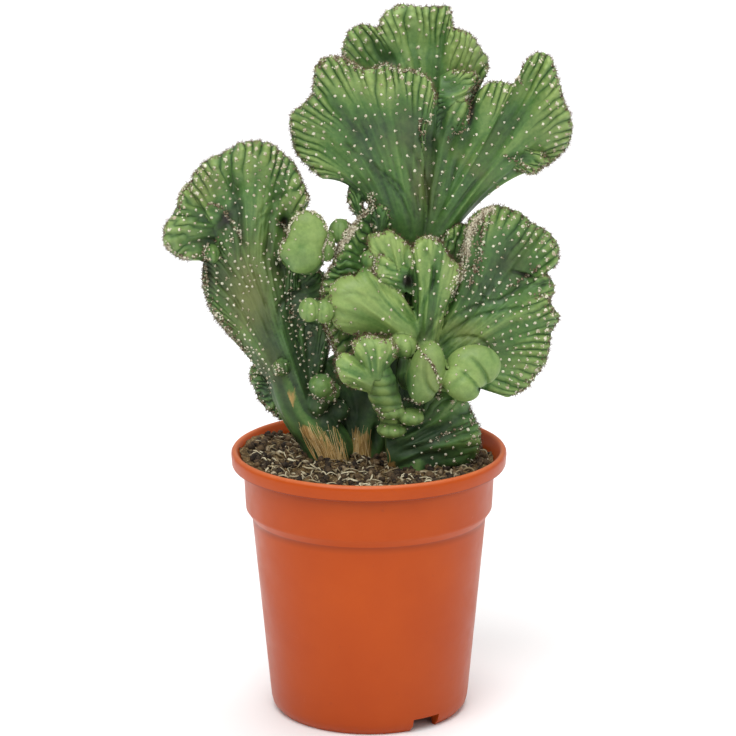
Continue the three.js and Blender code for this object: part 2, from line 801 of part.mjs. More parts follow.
// The soil: it fills the pot up to its lumpy surface
function soilSolid() {
  const innerTop = COLLAR_TOP_RADIUS - WALL - CLEARANCE;
  const outline = [
    [FOOT_RADIUS - WALL - CLEARANCE - 0.6, FLOOR_TOP + CLEARANCE],
    [WALL_FOOT_RADIUS - WALL - CLEARANCE, WALL_FOOT + CLEARANCE],
    [STEP_RADIUS - WALL - CLEARANCE, STEP_FOOT + CLEARANCE],
    [COLLAR_FOOT_RADIUS - WALL - CLEARANCE, COLLAR_FOOT + CLEARANCE],
    [innerTop - 0.3, RIM_TOP - LIP_HEIGHT - 5],
  ];
  const vertices = [];
  const triangles = [];
  const ring = (radius, height) => {
    for (let i = 0; i < SOIL_SIDES; i++) {
      const angle = (2 * Math.PI * i) / SOIL_SIDES;
      const x = radius * Math.cos(angle);
      const y = radius * Math.sin(angle);
      vertices.push(new THREE.Vector3(x, y, height ?? soilHeight(x, y)));
    }
  };
  for (const [radius, height] of outline) ring(radius, height);
  for (let k = 0; k < SOIL_RINGS; k++) ring((innerTop - 0.3) * (1 - k / SOIL_RINGS));
  const rings = outline.length + SOIL_RINGS;
  const bottom = vertices.push(new THREE.Vector3(0, 0, FLOOR_TOP + CLEARANCE)) - 1;
  const top = vertices.push(new THREE.Vector3(0, 0, soilHeight(0, 0))) - 1;
  for (let i = 0; i < SOIL_SIDES; i++) {
    const next = (i + 1) % SOIL_SIDES;
    for (let r = 0; r < rings - 1; r++) {
      const a = r * SOIL_SIDES;
      const b = a + SOIL_SIDES;
      triangles.push(a + i, a + next, b + next, a + i, b + next, b + i);
    }
    triangles.push(bottom, next, i);
    triangles.push(top, (rings - 1) * SOIL_SIDES + i, (rings - 1) * SOIL_SIDES + next);
  }
  return solidFrom(vertices, triangles);
}

function meshOf(name, joined, material) {
  const made = joined.getMesh();
  const geometry = new THREE.BufferGeometry();
  const positions = new Float32Array(made.numVert * 3);
  for (let i = 0; i < made.numVert; i++) {
    const start = i * made.numProp;
    positions.set(made.vertProperties.subarray(start, start + 3), i * 3);
  }
  geometry.setAttribute("position", new THREE.BufferAttribute(positions, 3));
  geometry.setIndex(new THREE.BufferAttribute(made.triVerts, 1));
  const mesh = new THREE.Mesh(geometry, material);
  mesh.name = name;
  return mesh;
}

const terracottaPlastic = new THREE.MeshStandardMaterial({
  color: 0xc4582e,
  roughness: 0.45,
  metalness: 0,
});
const peat = new THREE.MeshStandardMaterial({ color: 0x3a2c22, roughness: 0.95, metalness: 0 });
const cactusFlesh = new THREE.MeshStandardMaterial({ color: 0x4f8040, roughness: 0.6, metalness: 0 });

const upperCut = flesh(UPPER_CREST, CLEARANCE);
const leftCut = flesh(LEFT_CREST, CLEARANCE);
const rightCut = flesh(RIGHT_CREST, CLEARANCE);
const upperBody = flesh(UPPER_CREST);
const leftBody = largest(flesh(LEFT_CREST).subtract(upperCut));
const rightBody = largest(flesh(RIGHT_CREST).subtract(upperCut).subtract(leftCut));
const ground = soilSolid();
const upper = withSpines(upperBody, UPPER_CREST, [leftCut, rightCut, ground]);
const left = withSpines(leftBody, LEFT_CREST, [upperCut, rightCut, ground]);
const right = withSpines(rightBody, RIGHT_CREST, [upperCut, leftCut, ground]);
const soil = largest(ground.subtract(upperCut).subtract(leftCut).subtract(rightCut));

const plant = new THREE.Group();
plant.add(
  meshOf("pot", potSolid(), terracottaPlastic),
  meshOf("potting_soil", soil, peat),
  meshOf("left_crest", largest(left), cactusFlesh),
  meshOf("upper_crest", largest(upper), cactusFlesh),
  meshOf("right_crest", largest(right), cactusFlesh),
);

export default plant;
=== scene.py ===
"""Looks of the potted crested blue candle cactus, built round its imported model.

Sizes are in millimetres and turned to metres where a mesh is made. Each crested stem is made of lobes:
thick ribbed fans whose ribs run from a narrow root, past a hub, to a crest. The lobes of a stem are
grown together to one skin, on which its felt, spines and crest fringe are then set.
"""

import math

import bpy
import numpy as np
from mathutils import Euler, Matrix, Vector
from mathutils.bvhtree import BVHTree


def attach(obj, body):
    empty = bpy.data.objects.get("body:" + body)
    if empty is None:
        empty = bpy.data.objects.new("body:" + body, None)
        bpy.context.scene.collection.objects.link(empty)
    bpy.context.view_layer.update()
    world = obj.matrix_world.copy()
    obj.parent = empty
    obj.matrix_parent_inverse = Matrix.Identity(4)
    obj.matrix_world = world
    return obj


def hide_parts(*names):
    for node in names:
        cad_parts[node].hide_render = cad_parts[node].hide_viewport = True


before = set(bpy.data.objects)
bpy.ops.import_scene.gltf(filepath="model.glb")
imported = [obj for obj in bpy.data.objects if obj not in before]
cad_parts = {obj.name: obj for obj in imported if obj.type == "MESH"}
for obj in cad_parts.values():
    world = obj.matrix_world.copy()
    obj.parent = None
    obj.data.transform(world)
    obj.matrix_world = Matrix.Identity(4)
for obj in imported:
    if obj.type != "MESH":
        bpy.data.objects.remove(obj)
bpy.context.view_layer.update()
MM = 0.001
TURN = 2 * math.pi

# Driving dimensions of the pot
RIM_RADIUS = 85
RIM_TOP = 166.7
LIP_HEIGHT = 9.5
LIP_FOOT = RIM_TOP - LIP_HEIGHT
COLLAR_TOP_RADIUS = 77.4
COLLAR_FOOT_RADIUS = 76.2
COLLAR_FOOT = 129.5
STEP_RADIUS = 72.4
STEP_FOOT = 124.5
WALL_FOOT_RADIUS = 61.8
WALL_FOOT = 11
FOOT_RADIUS = 57.5
WALL = 1.9
FLOOR_UNDERSIDE = 6
FLOOR_TOP = 8.4
FLOOR_MIDDLE = 20  # radius of the floor's flat middle
FOOT_WIDTH = 3
NOTCH_WIDTH = 19
NOTCH_HEIGHT = 8.5
NOTCH_ANGLES = (-55, 125)
DRAIN_HOLES = 4
DRAIN_RADIUS = 4
DRAIN_CIRCLE = 38
POT_SIDES = 240

# Driving dimensions of the soil
SOIL_LEVEL = 156.5
SOIL_RISE = 7.5
SOIL_LUMP = 1.6
CLEARANCE = 0.35
SOIL_RINGS = 70
SOIL_SIDES = 240
CRUMBS = 1700
WHITE_BITS = 24
FIBRES = 760
FIBRE_POINTS = 8

# Driving dimensions of the plant's skin
ROOT_DEPTH = 118
BROAD_RIDGE = 1.0  # height of the broad ridges low on a lobe
SOFT_RIDGE = 1.2  # of those above them, twice as many
KEEN_RIB = 1.8  # of the narrow ribs by its crest
FLOW_RIDGE = 1.6  # of the long smooth swells that run up from the root
RIB_REACH = 31  # how far the narrow ribs come down from the crest
ROLL = 1.4  # how much thicker a lobe is close under its crest
FRILL = 2.2  # how far its crest wanders to and fro in depth
FLANK_FADE = 3
SPREAD = 0.28
SCALLOP = 1.6
KNOB_RIBS = 7
HOLLOW_DEPTH = 3.0
DEEPEST_HOLLOW = 1.4  # the strength past which a hollow gets no deeper
SEAM = 0.2  # how far the front and back skins lap over each other
FARTHEST_WOOL = 80  # from the pot's axis, towards the back or the front
FARTHEST_STRAW = 60

# Felt and spines
AREOLE_GAP = 0.72  # least distance of two areoles, as a share of their step along a rib
AREOLE_SPINES = 5
FRINGE_GAP = 0.5  # between two tufts along a crest
FRINGE_SPINES = 4
PALE_FRINGE = 0.475  # share of those tufts that are pale
WOOL_LINE_SPINES = 2
SPINE_WIDTH = 0.24
WOOL_SPINE_WIDTH = 0.26

# How fine the plant's shapes are before they are grown together
COLUMNS_A_PAIR = 14  # of a lobe's grid, for each pair of ribs
ROW_LENGTH = 1.4
FEWEST_ROWS, MOST_ROWS = 12, 70
CAP_ROWS = 8
TRUNK_SIDES = 72
KNOB_COLUMNS, KNOB_ROWS = 56, 32

# The photograph's standpoint; the outlines below were read on the upright plane through the pot's axis
STANDPOINT = np.array([-0.4, -2000.0, 746.0])
CAMERA_PITCH = 14.81  # degrees below the horizon
CAMERA_ROLL = -0.16
CAMERA_LENS = 165.1
CAMERA_SENSOR = 36.0

# The crests' tables, in the photograph's view: x to the right, z up, and depth back from the pot's axis.
# A trunk has rings (x, z, depth, half width, half depth) and either low ribs or a stack of swollen rings.
# A fan has the two ends of its root, a hub that its ribs pass by, the edge of its crest, and flanks where
# its outer ribs bend. thick is half its thickness at the root, the body and the crest, roll and puff round
# its crest, and pitch, reach, rib and flow set the width, length and height of its ribs and swells.
# lean, turn, curl, bow, sink, folds and ripple, with its waves and phase, change its depth.
# young makes it lighter, sparse sets its areoles apart, and fringe and fringe_span thin its crest's wool.
# A knob has a place, its half width, height and depth, a tilt in degrees, and the depth of its grooves.

UPPER_TRUNKS = [
    dict(ribs=7, rings=[
        (-4, ROOT_DEPTH, 24, 12, 11), (-4, 158, 22, 14, 12), (2, 186, 22, 17, 13), (9, 218, 22, 16, 13),
        (20, 256, 22, 12, 12), (27, 286, 20, 14, 12), (31, 308, 16, 15, 9), (33, 326, 12, 6, 4),
    ]),
]

UPPER_FANS = [
    # The broad left lobe, whose right half folds over to the front
    dict(
        root=[(15, 290), (34, 288)], hub=(17, 348), spread=0.24, flanks=[(-3, 337), (36, 330)], depth=12,
        lean=-0.16, turn=0.05, curl=-2, ripple=4, waves=2, folds=[(0.46, 0.63, -9)], thick=(10, 10, 7.5),
        edge=[
            (-27, 335), (-36, 343), (-43, 351), (-46, 359), (-47, 369), (-46, 375), (-40, 380),
            (-34, 386), (-33, 393), (-32, 402), (-28, 408), (-22, 410), (-15, 409), (-8, 406), (-2, 402),
            (4, 403), (12, 405), (20, 402), (28, 401), (33, 399), (38, 394), (40, 387), (39, 379),
            (35, 371), (30, 365),
        ],
    ),
    # The high lobe behind
    dict(
        root=[(22, 330), (48, 334)], hub=(36, 396), spread=0.18, depth=20, lean=0.12, ripple=6, waves=2,
        phase=0.3, thick=(5, 10, 6.5),
        edge=[
            (-11, 402), (-15, 411), (-14, 419), (-11, 425), (-5, 429), (1, 429), (6, 427), (8, 433),
            (13, 438), (21, 441), (31, 440), (41, 440), (48, 440), (50, 434), (51, 427), (56, 426),
            (62, 423), (67, 416), (71, 409), (72, 402), (69, 395),
        ],
    ),
    # The small one in the middle, whose ribs lie level
    dict(
        root=[(43, 398), (41, 356)], hub=(48, 380), depth=15, bow=-2, reach=60, pitch=7.5,
        thick=(8, 10, 7),
        edge=[
            (50, 402), (58, 401), (66, 399), (68, 395), (63, 391), (62, 385), (61, 378), (59, 371),
            (54, 364), (48, 357),
        ],
    ),
    # The right lobe with its raised horn
    dict(
        root=[(28, 290), (46, 294)], hub=(76, 352), flanks=[(38, 336), (74, 336)], spread=0.16, depth=15,
        lean=-0.08, turn=-0.03, ripple=-6, waves=2, thick=(10, 10, 6.5),
        edge=[
            (67, 390), (73, 394), (79, 395), (86, 393), (90, 397), (93, 404), (98, 410), (104, 412),
            (110, 408), (113, 401), (115, 393), (117, 385), (119, 379), (122, 372), (123, 364),
            (121, 356), (114, 348), (106, 342),
        ],
    ),
    # The web between the two
    dict(
        root=[(18, 292), (42, 294)], hub=(32, 334), depth=17, lean=-0.03, thick=(10, 10, 7), rib=0.6,
        flow=1.4,
        edge=[
            (0, 342), (2, 356), (10, 370), (22, 379), (34, 384), (48, 386), (60, 384), (67, 374),
            (69, 360), (70, 346),
        ],
    ),
    dict(
        root=[(84, 356), (86, 343)], hub=(92, 349), depth=6, sink=3, fringe_span=(0.35, 0.98),
        thick=(4, 7, 5.5),
        edge=[
            (88, 357), (97, 354), (105, 351), (109, 347), (105, 342), (99, 338), (92, 340), (87, 341),
        ],
    ),
    # Small lobes low on the stem, left of it
    dict(
        root=[(4, 300), (11, 299)], hub=(8, 308), depth=4, thick=(7, 8, 6),
        edge=[
            (1, 306), (1, 313), (3, 320), (8, 322), (12, 318), (13, 311), (14, 305),
        ],
    ),
    dict(
        root=[(-3, 306), (0, 303)], hub=(-6, 318), depth=8, thick=(5, 5.5, 4.5),
        edge=[
            (-8, 313), (-12, 320), (-12, 328), (-9, 333), (-5, 333), (-4, 326), (-2, 313),
        ],
    ),
    # The spiny crest that runs down between the stems, seen on its edge
    dict(
        root=[(16, 300), (8, 232)], hub=(-8, 274), flanks=[(8, 314), (-8, 226)], depth=9, turn=0.45,
        thick=(8, 10, 7),
        edge=[
            (3, 321), (-3, 312), (-11, 306), (-16, 296), (-21, 284), (-27, 273), (-29, 260), (-27, 247),
            (-24, 236), (-20, 226), (-18, 218),
        ],
    ),
    # A lobe low between the stems, behind them, that fills the dark gap there; its darkness is painted shade
    dict(
        root=[(-16, 160), (6, 160)], hub=(-12, 190), depth=20, thick=(9, 9, 6), young=-0.5, rib=0.3,
        fringe=0, sparse=3,
        edge=[
            (-26, 184), (-30, 196), (-30, 210), (-26, 222), (-17, 228), (-6, 228), (4, 220),
        ],
    ),
]

UPPER_KNOBS = [
    dict(at=(-17, 303, -2), size=(7, 8, 7), young=0.5),
    dict(at=(-13, 287, 6), size=(8, 12, 9), tilt=20),
]

LEFT_TRUNKS = [
    dict(ribs=8, rings=[
        (-24, ROOT_DEPTH, 14, 13, 10), (-24, 156, 13, 13.5, 11), (-26, 168, 12, 16, 12),
        (-33, 180, 11, 17, 12), (-43, 194, 11, 14, 11), (-51, 215, 9, 12, 9), (-58, 236, 7, 9, 6),
    ]),
]

LEFT_FANS = [
    # The broad body
    dict(
        root=[(-41, 168), (-20, 165)], hub=(-68, 262), flanks=[(-60, 210), (-24, 208)], spread=0.12,
        rib=0.8, pitch=8, reach=34, flow=1.3, young=-0.6, sparse=0.8, depth=11, lean=-0.02, bow=5,
        fringe_span=(0.02, 0.42), thick=(10, 13, 7),
        edge=[
            (-83, 235), (-89, 243), (-94, 249), (-97, 256), (-99, 262), (-101, 270), (-101, 278),
            (-99, 286), (-95, 295), (-88, 306), (-79, 318), (-68, 322), (-58, 314), (-51, 300),
            (-47, 286), (-42, 272), (-38, 256),
        ],
    ),
    # The dome, smooth below its rim
    dict(
        root=[(-80, 244), (-58, 244)], hub=(-71, 316), spread=0.22, rib=1.1, pitch=13, reach=30, roll=4.5,
        flow=1.8, sink=14, sparse=1.6, young=-0.1, flanks=[(-90, 304), (-50, 292)], depth=3, lean=-0.09,
        ripple=4, waves=1.5, bow=3, thick=(5, 13, 7.5),
        edge=[
            (-108, 329), (-105, 339), (-100, 344), (-95, 348), (-89, 351), (-85, 353), (-81, 356),
            (-75, 358), (-68, 359), (-60, 357), (-54, 353), (-48, 348), (-43, 343), (-41, 338),
            (-38, 331), (-36, 324), (-38, 316),
        ],
    ),
    # The lobe that droops at the left
    dict(
        root=[(-78, 290), (-82, 314)], hub=(-97, 306), flanks=[(-93, 284), (-94, 319)], depth=11, bow=-2,
        turn=0.22, rib=0.8, reach=26, flow=1.6, pitch=14, sparse=1.5, thick=(8, 11, 7.5),
        edge=[
            (-108, 285), (-117, 288), (-121, 292), (-124, 297), (-124, 303), (-122, 309), (-119, 313),
            (-116, 320), (-115, 324), (-113, 329), (-108, 334),
        ],
    ),
    # The dark lobe low behind the stem
    dict(
        root=[(-49, 190), (-54, 213)], hub=(-60, 203), depth=18, turn=-0.4, thick=(10, 9, 6), young=-0.4,
        edge=[
            (-53, 184), (-59, 188), (-65, 194), (-69, 200), (-71, 206), (-73, 212), (-71, 219),
            (-66, 224),
        ],
    ),
    # The fold down the body's right side
    dict(
        root=[(-52, 274), (-46, 236)], hub=(-40, 255), depth=13, turn=-0.1, thick=(9, 9, 6), young=-0.4,
        pitch=7, sparse=0.8,
        edge=[
            (-44, 284), (-35, 281), (-27, 276), (-23, 265), (-23, 253), (-28, 242), (-37, 235),
        ],
    ),
    # The smooth lobe right of the stem
    dict(
        root=[(-41, 186), (-33, 184)], hub=(-37, 214), flanks=[None, (-32, 206)], depth=13,
        thick=(9, 10, 7), rib=0.4, young=-0.4, sparse=2,
        edge=[
            (-46, 214), (-48, 230), (-44, 243), (-36, 249), (-28, 246), (-24, 237), (-25, 223),
        ],
    ),
]

LEFT_KNOBS = [
    dict(at=(-95, 289, 0), size=(5, 5.5, 5)),
    # The young pale pad in front, of two halves
    dict(at=(-37, 304, -14), size=(12, 12, 7), young=0.9, groove=0.01, sparse=4),
    dict(at=(-41, 289, -14), size=(13, 12, 7.5), tilt=20, young=0.9, groove=0.01, sparse=4),
    dict(at=(-38, 297, -13), size=(11, 11, 7), young=0.9, groove=0.01, sparse=7),
    dict(at=(-36, 290, 0), size=(10, 14, 12), groove=0.01),
    dict(at=(-25, 294, -8), size=(5, 10, 6), young=0.6, groove=0.02),
    dict(at=(-54, 217, -4), size=(5, 5, 6), young=0.1),
    dict(at=(-29, 206, -6), size=(8, 7.5, 8), young=0.4, groove=0.02),
    dict(at=(-23, 202, -2), size=(5.5, 6.5, 7), tilt=25, young=0.2, groove=0.02),
    dict(at=(-31, 195, 2), size=(7, 8, 8), young=-0.2, groove=0.02),
    dict(at=(-19, 190, 8), size=(7, 7, 8), young=-0.5, groove=0.02),
    dict(at=(-27, 183, 8), size=(9, 9, 8), young=-0.5, groove=0.02),
]

RIGHT_TRUNKS = [
    dict(ribs=9, rings=[
        (26, ROOT_DEPTH, -4, 13, 12), (27, 154, -4, 15, 13), (28, 172, -3, 18, 13), (31, 192, -3, 18, 13),
        (36, 214, -4, 13, 11), (36, 234, -3, 8, 7),
    ]),
    dict(stack=6.1, young=0.2, rings=[
        (15, 184, -18, 7.5, 8), (12, 192, -26, 9, 9), (9, 201, -33, 9.5, 8), (6, 212, -38, 9.5, 8),
        (4, 222, -40, 6, 5),
    ]),
]

RIGHT_FANS = [
    # The great ribbed fan, with a crease at its right edge
    dict(
        root=[(24, 222), (42, 206)], hub=(67, 244), flanks=[(34, 240), (60, 208)], spread=0.14,
        young=-0.12, depth=2, turn=0.1, bow=-4, ripple=4, waves=2.5, reach=24, rib=0.9,
        folds=[(0.52, 0.58, -3)], thick=(9, 10, 6.5),
        edge=[
            (48, 262), (57, 278), (58, 292), (60, 301), (61, 310), (65, 314), (71, 317), (79, 319),
            (86, 317), (94, 313), (99, 308), (106, 304), (111, 300), (115, 295), (116, 289), (114, 281),
            (108, 277), (112, 271), (113, 265), (111, 259), (114, 253), (117, 250), (116, 246),
            (112, 240), (111, 234), (110, 227), (108, 220), (104, 214), (100, 207), (94, 202), (85, 198),
        ],
    ),
    # The narrow fan in the middle
    dict(
        root=[(25, 226), (40, 222)], hub=(37, 262), flanks=[(27, 248), (44, 249)], depth=-10, bow=4,
        thick=(10, 12, 7), rib=0.35, young=0.2, sparse=2.6, flow=1.8, reach=18,
        edge=[
            (26, 270), (27, 283), (27, 291), (29, 297), (34, 300), (38, 300), (43, 297), (46, 293),
            (50, 286), (55, 282), (56, 277), (54, 271),
        ],
    ),
    # The large pale lobe that points left
    dict(
        root=[(26, 226), (33, 244)], hub=(6, 254), flanks=[(10, 236), None], depth=-15, turn=0.12, bow=2,
        puff=1.7, roll=0, flow=0.9, reach=24, thick=(9, 16, 10), rib=0.14, young=0.7, sparse=7,
        fringe=0.4,
        edge=[
            (-11, 238), (-20, 243), (-23, 249), (-24, 258), (-24, 266), (-22, 270), (-18, 274),
            (-11, 276), (-8, 275), (-4, 280), (0, 279), (6, 275), (14, 270), (19, 266), (24, 258),
        ],
    ),
    dict(
        root=[(0, 210), (9, 209)], hub=(4, 222), flanks=[(-3, 219), (11, 217)], depth=-41, puff=1.7,
        roll=0, thick=(6, 12, 8.5), rib=0.2, young=0.6, sparse=1.6,
        edge=[
            (-9, 226), (-10, 233), (-5, 237), (2, 238), (8, 236), (14, 235), (18, 230), (17, 223),
        ],
    ),
    dict(
        root=[(1, 201), (4, 213)], hub=(-10, 213), depth=-41, puff=1.7, roll=0, thick=(6, 11, 8),
        rib=0.15, young=0.6, sparse=2, fringe=0.5,
        edge=[
            (-9, 204), (-16, 208), (-19, 214), (-20, 222), (-16, 227), (-10, 226),
        ],
    ),
    # The low crest by the soil
    dict(
        root=[(10, 174), (12, 152)], hub=(38, 172), flanks=[(18, 190), (34, 150)], depth=-13, turn=0.12,
        bow=-2, thick=(9, 15, 8), young=-0.5, rib=0.5, flow=1.6, reach=26, sparse=1.8,
        edge=[
            (36, 205), (47, 204), (57, 200), (63, 191), (65, 185), (68, 179), (69, 172), (68, 163),
            (62, 155),
        ],
    ),
    dict(
        root=[(14, 270), (28, 262)], hub=(14, 288), flanks=[None, (28, 272)], depth=-12, thick=(8, 9, 6),
        rib=0.25, young=0.6, sparse=3, fringe=0.7,
        edge=[
            (2, 286), (0, 294), (0, 301), (7, 302), (13, 304), (17, 301), (23, 296), (28, 291), (30, 284),
        ],
    ),
    dict(
        root=[(22, 264), (25, 280)], hub=(14, 276), flanks=[None, (19, 283)], depth=-16,
        thick=(7, 8, 6.5), rib=0.5, young=0.5,
        edge=[
            (15, 265), (8, 270), (3, 277), (4, 284), (7, 289), (13, 288),
        ],
    ),
    dict(
        root=[(38, 258), (52, 266)], hub=(48, 284), depth=9, thick=(7, 8, 6), young=-0.3,
        edge=[
            (43, 291), (46, 301), (53, 307), (60, 307), (64, 300), (62, 287),
        ],
    ),
]

RIGHT_KNOBS = [
    dict(at=(-36, 254, -27), size=(6.5, 7.5, 7)),
    dict(at=(-27, 253, -25), size=(6, 7.5, 7)),
    dict(at=(21, 231, -28), size=(9, 7.5, 9)),
    dict(at=(23, 216, -22), size=(6, 13, 9)),
    dict(at=(35, 214, -34), size=(11, 19.5, 13), tilt=14, young=0.7, groove=0.012, sparse=4),
    dict(at=(14, 190, -28), size=(8, 5, 8)),
    dict(at=(14, 178, -22), size=(9, 5, 9)),
    dict(at=(26, 186, -26), size=(8, 5.5, 9)),
    dict(at=(0, 285, -14), size=(5, 6, 6)),
    dict(at=(33, 222, -14), size=(12, 16, 12)),
    # The pair of pale pads at the right
    dict(at=(64, 218, -28), size=(17, 13.5, 10), tilt=-8, young=0.8, groove=0.012, sparse=4),
    dict(at=(57, 207, -34), size=(12.5, 10, 9), tilt=35, young=0.8, groove=0.012, sparse=4),
    dict(at=(48, 212, -22), size=(12, 10, 9), young=0.5, groove=0.012),
]

# Shapes

def smoothstep(x, low, high):
    t = np.clip((x - low) / (high - low), 0, 1)
    return t * t * (3 - 2 * t)


def waves(x, seed):
    """A smooth wandering value between about -1 and 1."""
    phases = np.random.default_rng(seed).uniform(0, TURN, 3)
    wave = np.sin(x + phases[0]) + 0.5 * np.sin(2.3 * x + phases[1]) + 0.3 * np.sin(4.1 * x + phases[2])
    return wave / 1.5


def unit(vectors):
    return vectors / np.linalg.norm(vectors, axis=-1, keepdims=True)


def seen(x, z, depth):
    """A place in the photograph's view, given on the upright middle plane, moved to its depth."""
    scale = (depth - STANDPOINT[1]) / -STANDPOINT[1]
    return np.stack([
        STANDPOINT[0] + (x - STANDPOINT[0]) * scale,
        np.broadcast_to(depth, np.shape(scale)),
        STANDPOINT[2] + (z - STANDPOINT[2]) * scale,
    ], -1)


def as_seen(points):
    """Where places appear on the upright middle plane from the photograph's standpoint."""
    scale = (points[:, 1] - STANDPOINT[1]) / -STANDPOINT[1]
    x = STANDPOINT[0] + (points[:, 0] - STANDPOINT[0]) / scale
    z = STANDPOINT[2] + (points[:, 2] - STANDPOINT[2]) / scale
    return x, z


def catmull_rom(points, steps):
    """A smooth curve through points of any dimension, with so many steps between two of them."""
    p = np.array(points, float)
    t = np.linspace(0, len(p) - 1, (len(p) - 1) * steps + 1)
    i = np.minimum(t.astype(int), len(p) - 2)
    w = (t - i)[:, None]
    before, here, there, after = (p[np.clip(i + k, 0, len(p) - 1)] for k in (-1, 0, 1, 2))
    leave, arrive = (there - before) / 2, (after - here) / 2
    cubic = 2 * here - 2 * there + leave + arrive
    square = 3 * there - 3 * here - 2 * leave - arrive
    return cubic * w**3 + square * w**2 + leave * w + here


def length_along(curve):
    return np.concatenate([[0], np.cumsum(np.linalg.norm(np.diff(curve, axis=0), axis=1))])


def circle(sides):
    return np.linspace(0, TURN, sides, endpoint=False)


def ring_at(radius, height, angle):
    return np.stack([radius * np.cos(angle), radius * np.sin(angle), np.full(len(angle), height)], -1)


def band_faces(rings, sides):
    """Faces with four corners from each ring of vertices to the next."""
    here = np.arange((rings - 1) * sides).reshape(-1, sides)
    beside = np.roll(here, -1, 1)
    return np.stack([here, beside, beside + sides, here + sides], -1).reshape(-1, 4)


def closed_faces(rings, sides):
    """Those, and the faces that close both ends, each round a middle vertex that comes after the rings'."""
    i = np.arange(sides)
    j = np.roll(i, -1)
    last = (rings - 1) * sides
    foot = np.stack([np.full(sides, rings * sides), j, i, i], -1)
    head = np.stack([np.full(sides, rings * sides + 1), last + i, last + j, last + j], -1)
    return np.concatenate([band_faces(rings, sides), foot, head])


def halves_of(quads):
    """The triangles of faces with four corners; those that close an end name one corner twice."""
    halves = np.concatenate([quads[:, [0, 1, 2]], quads[:, [0, 2, 3]]])
    return halves[(halves[:, 1] != halves[:, 2]) & (halves[:, 0] != halves[:, 2])]


def joined(parts):
    """Points and faces of several (points, faces, more) sets as one set."""
    starts = np.cumsum([0] + [len(part[0]) for part in parts[:-1]])
    faces = [part[1] + start for part, start in zip(parts, starts)]
    return np.concatenate([part[0] for part in parts]), np.concatenate(faces)


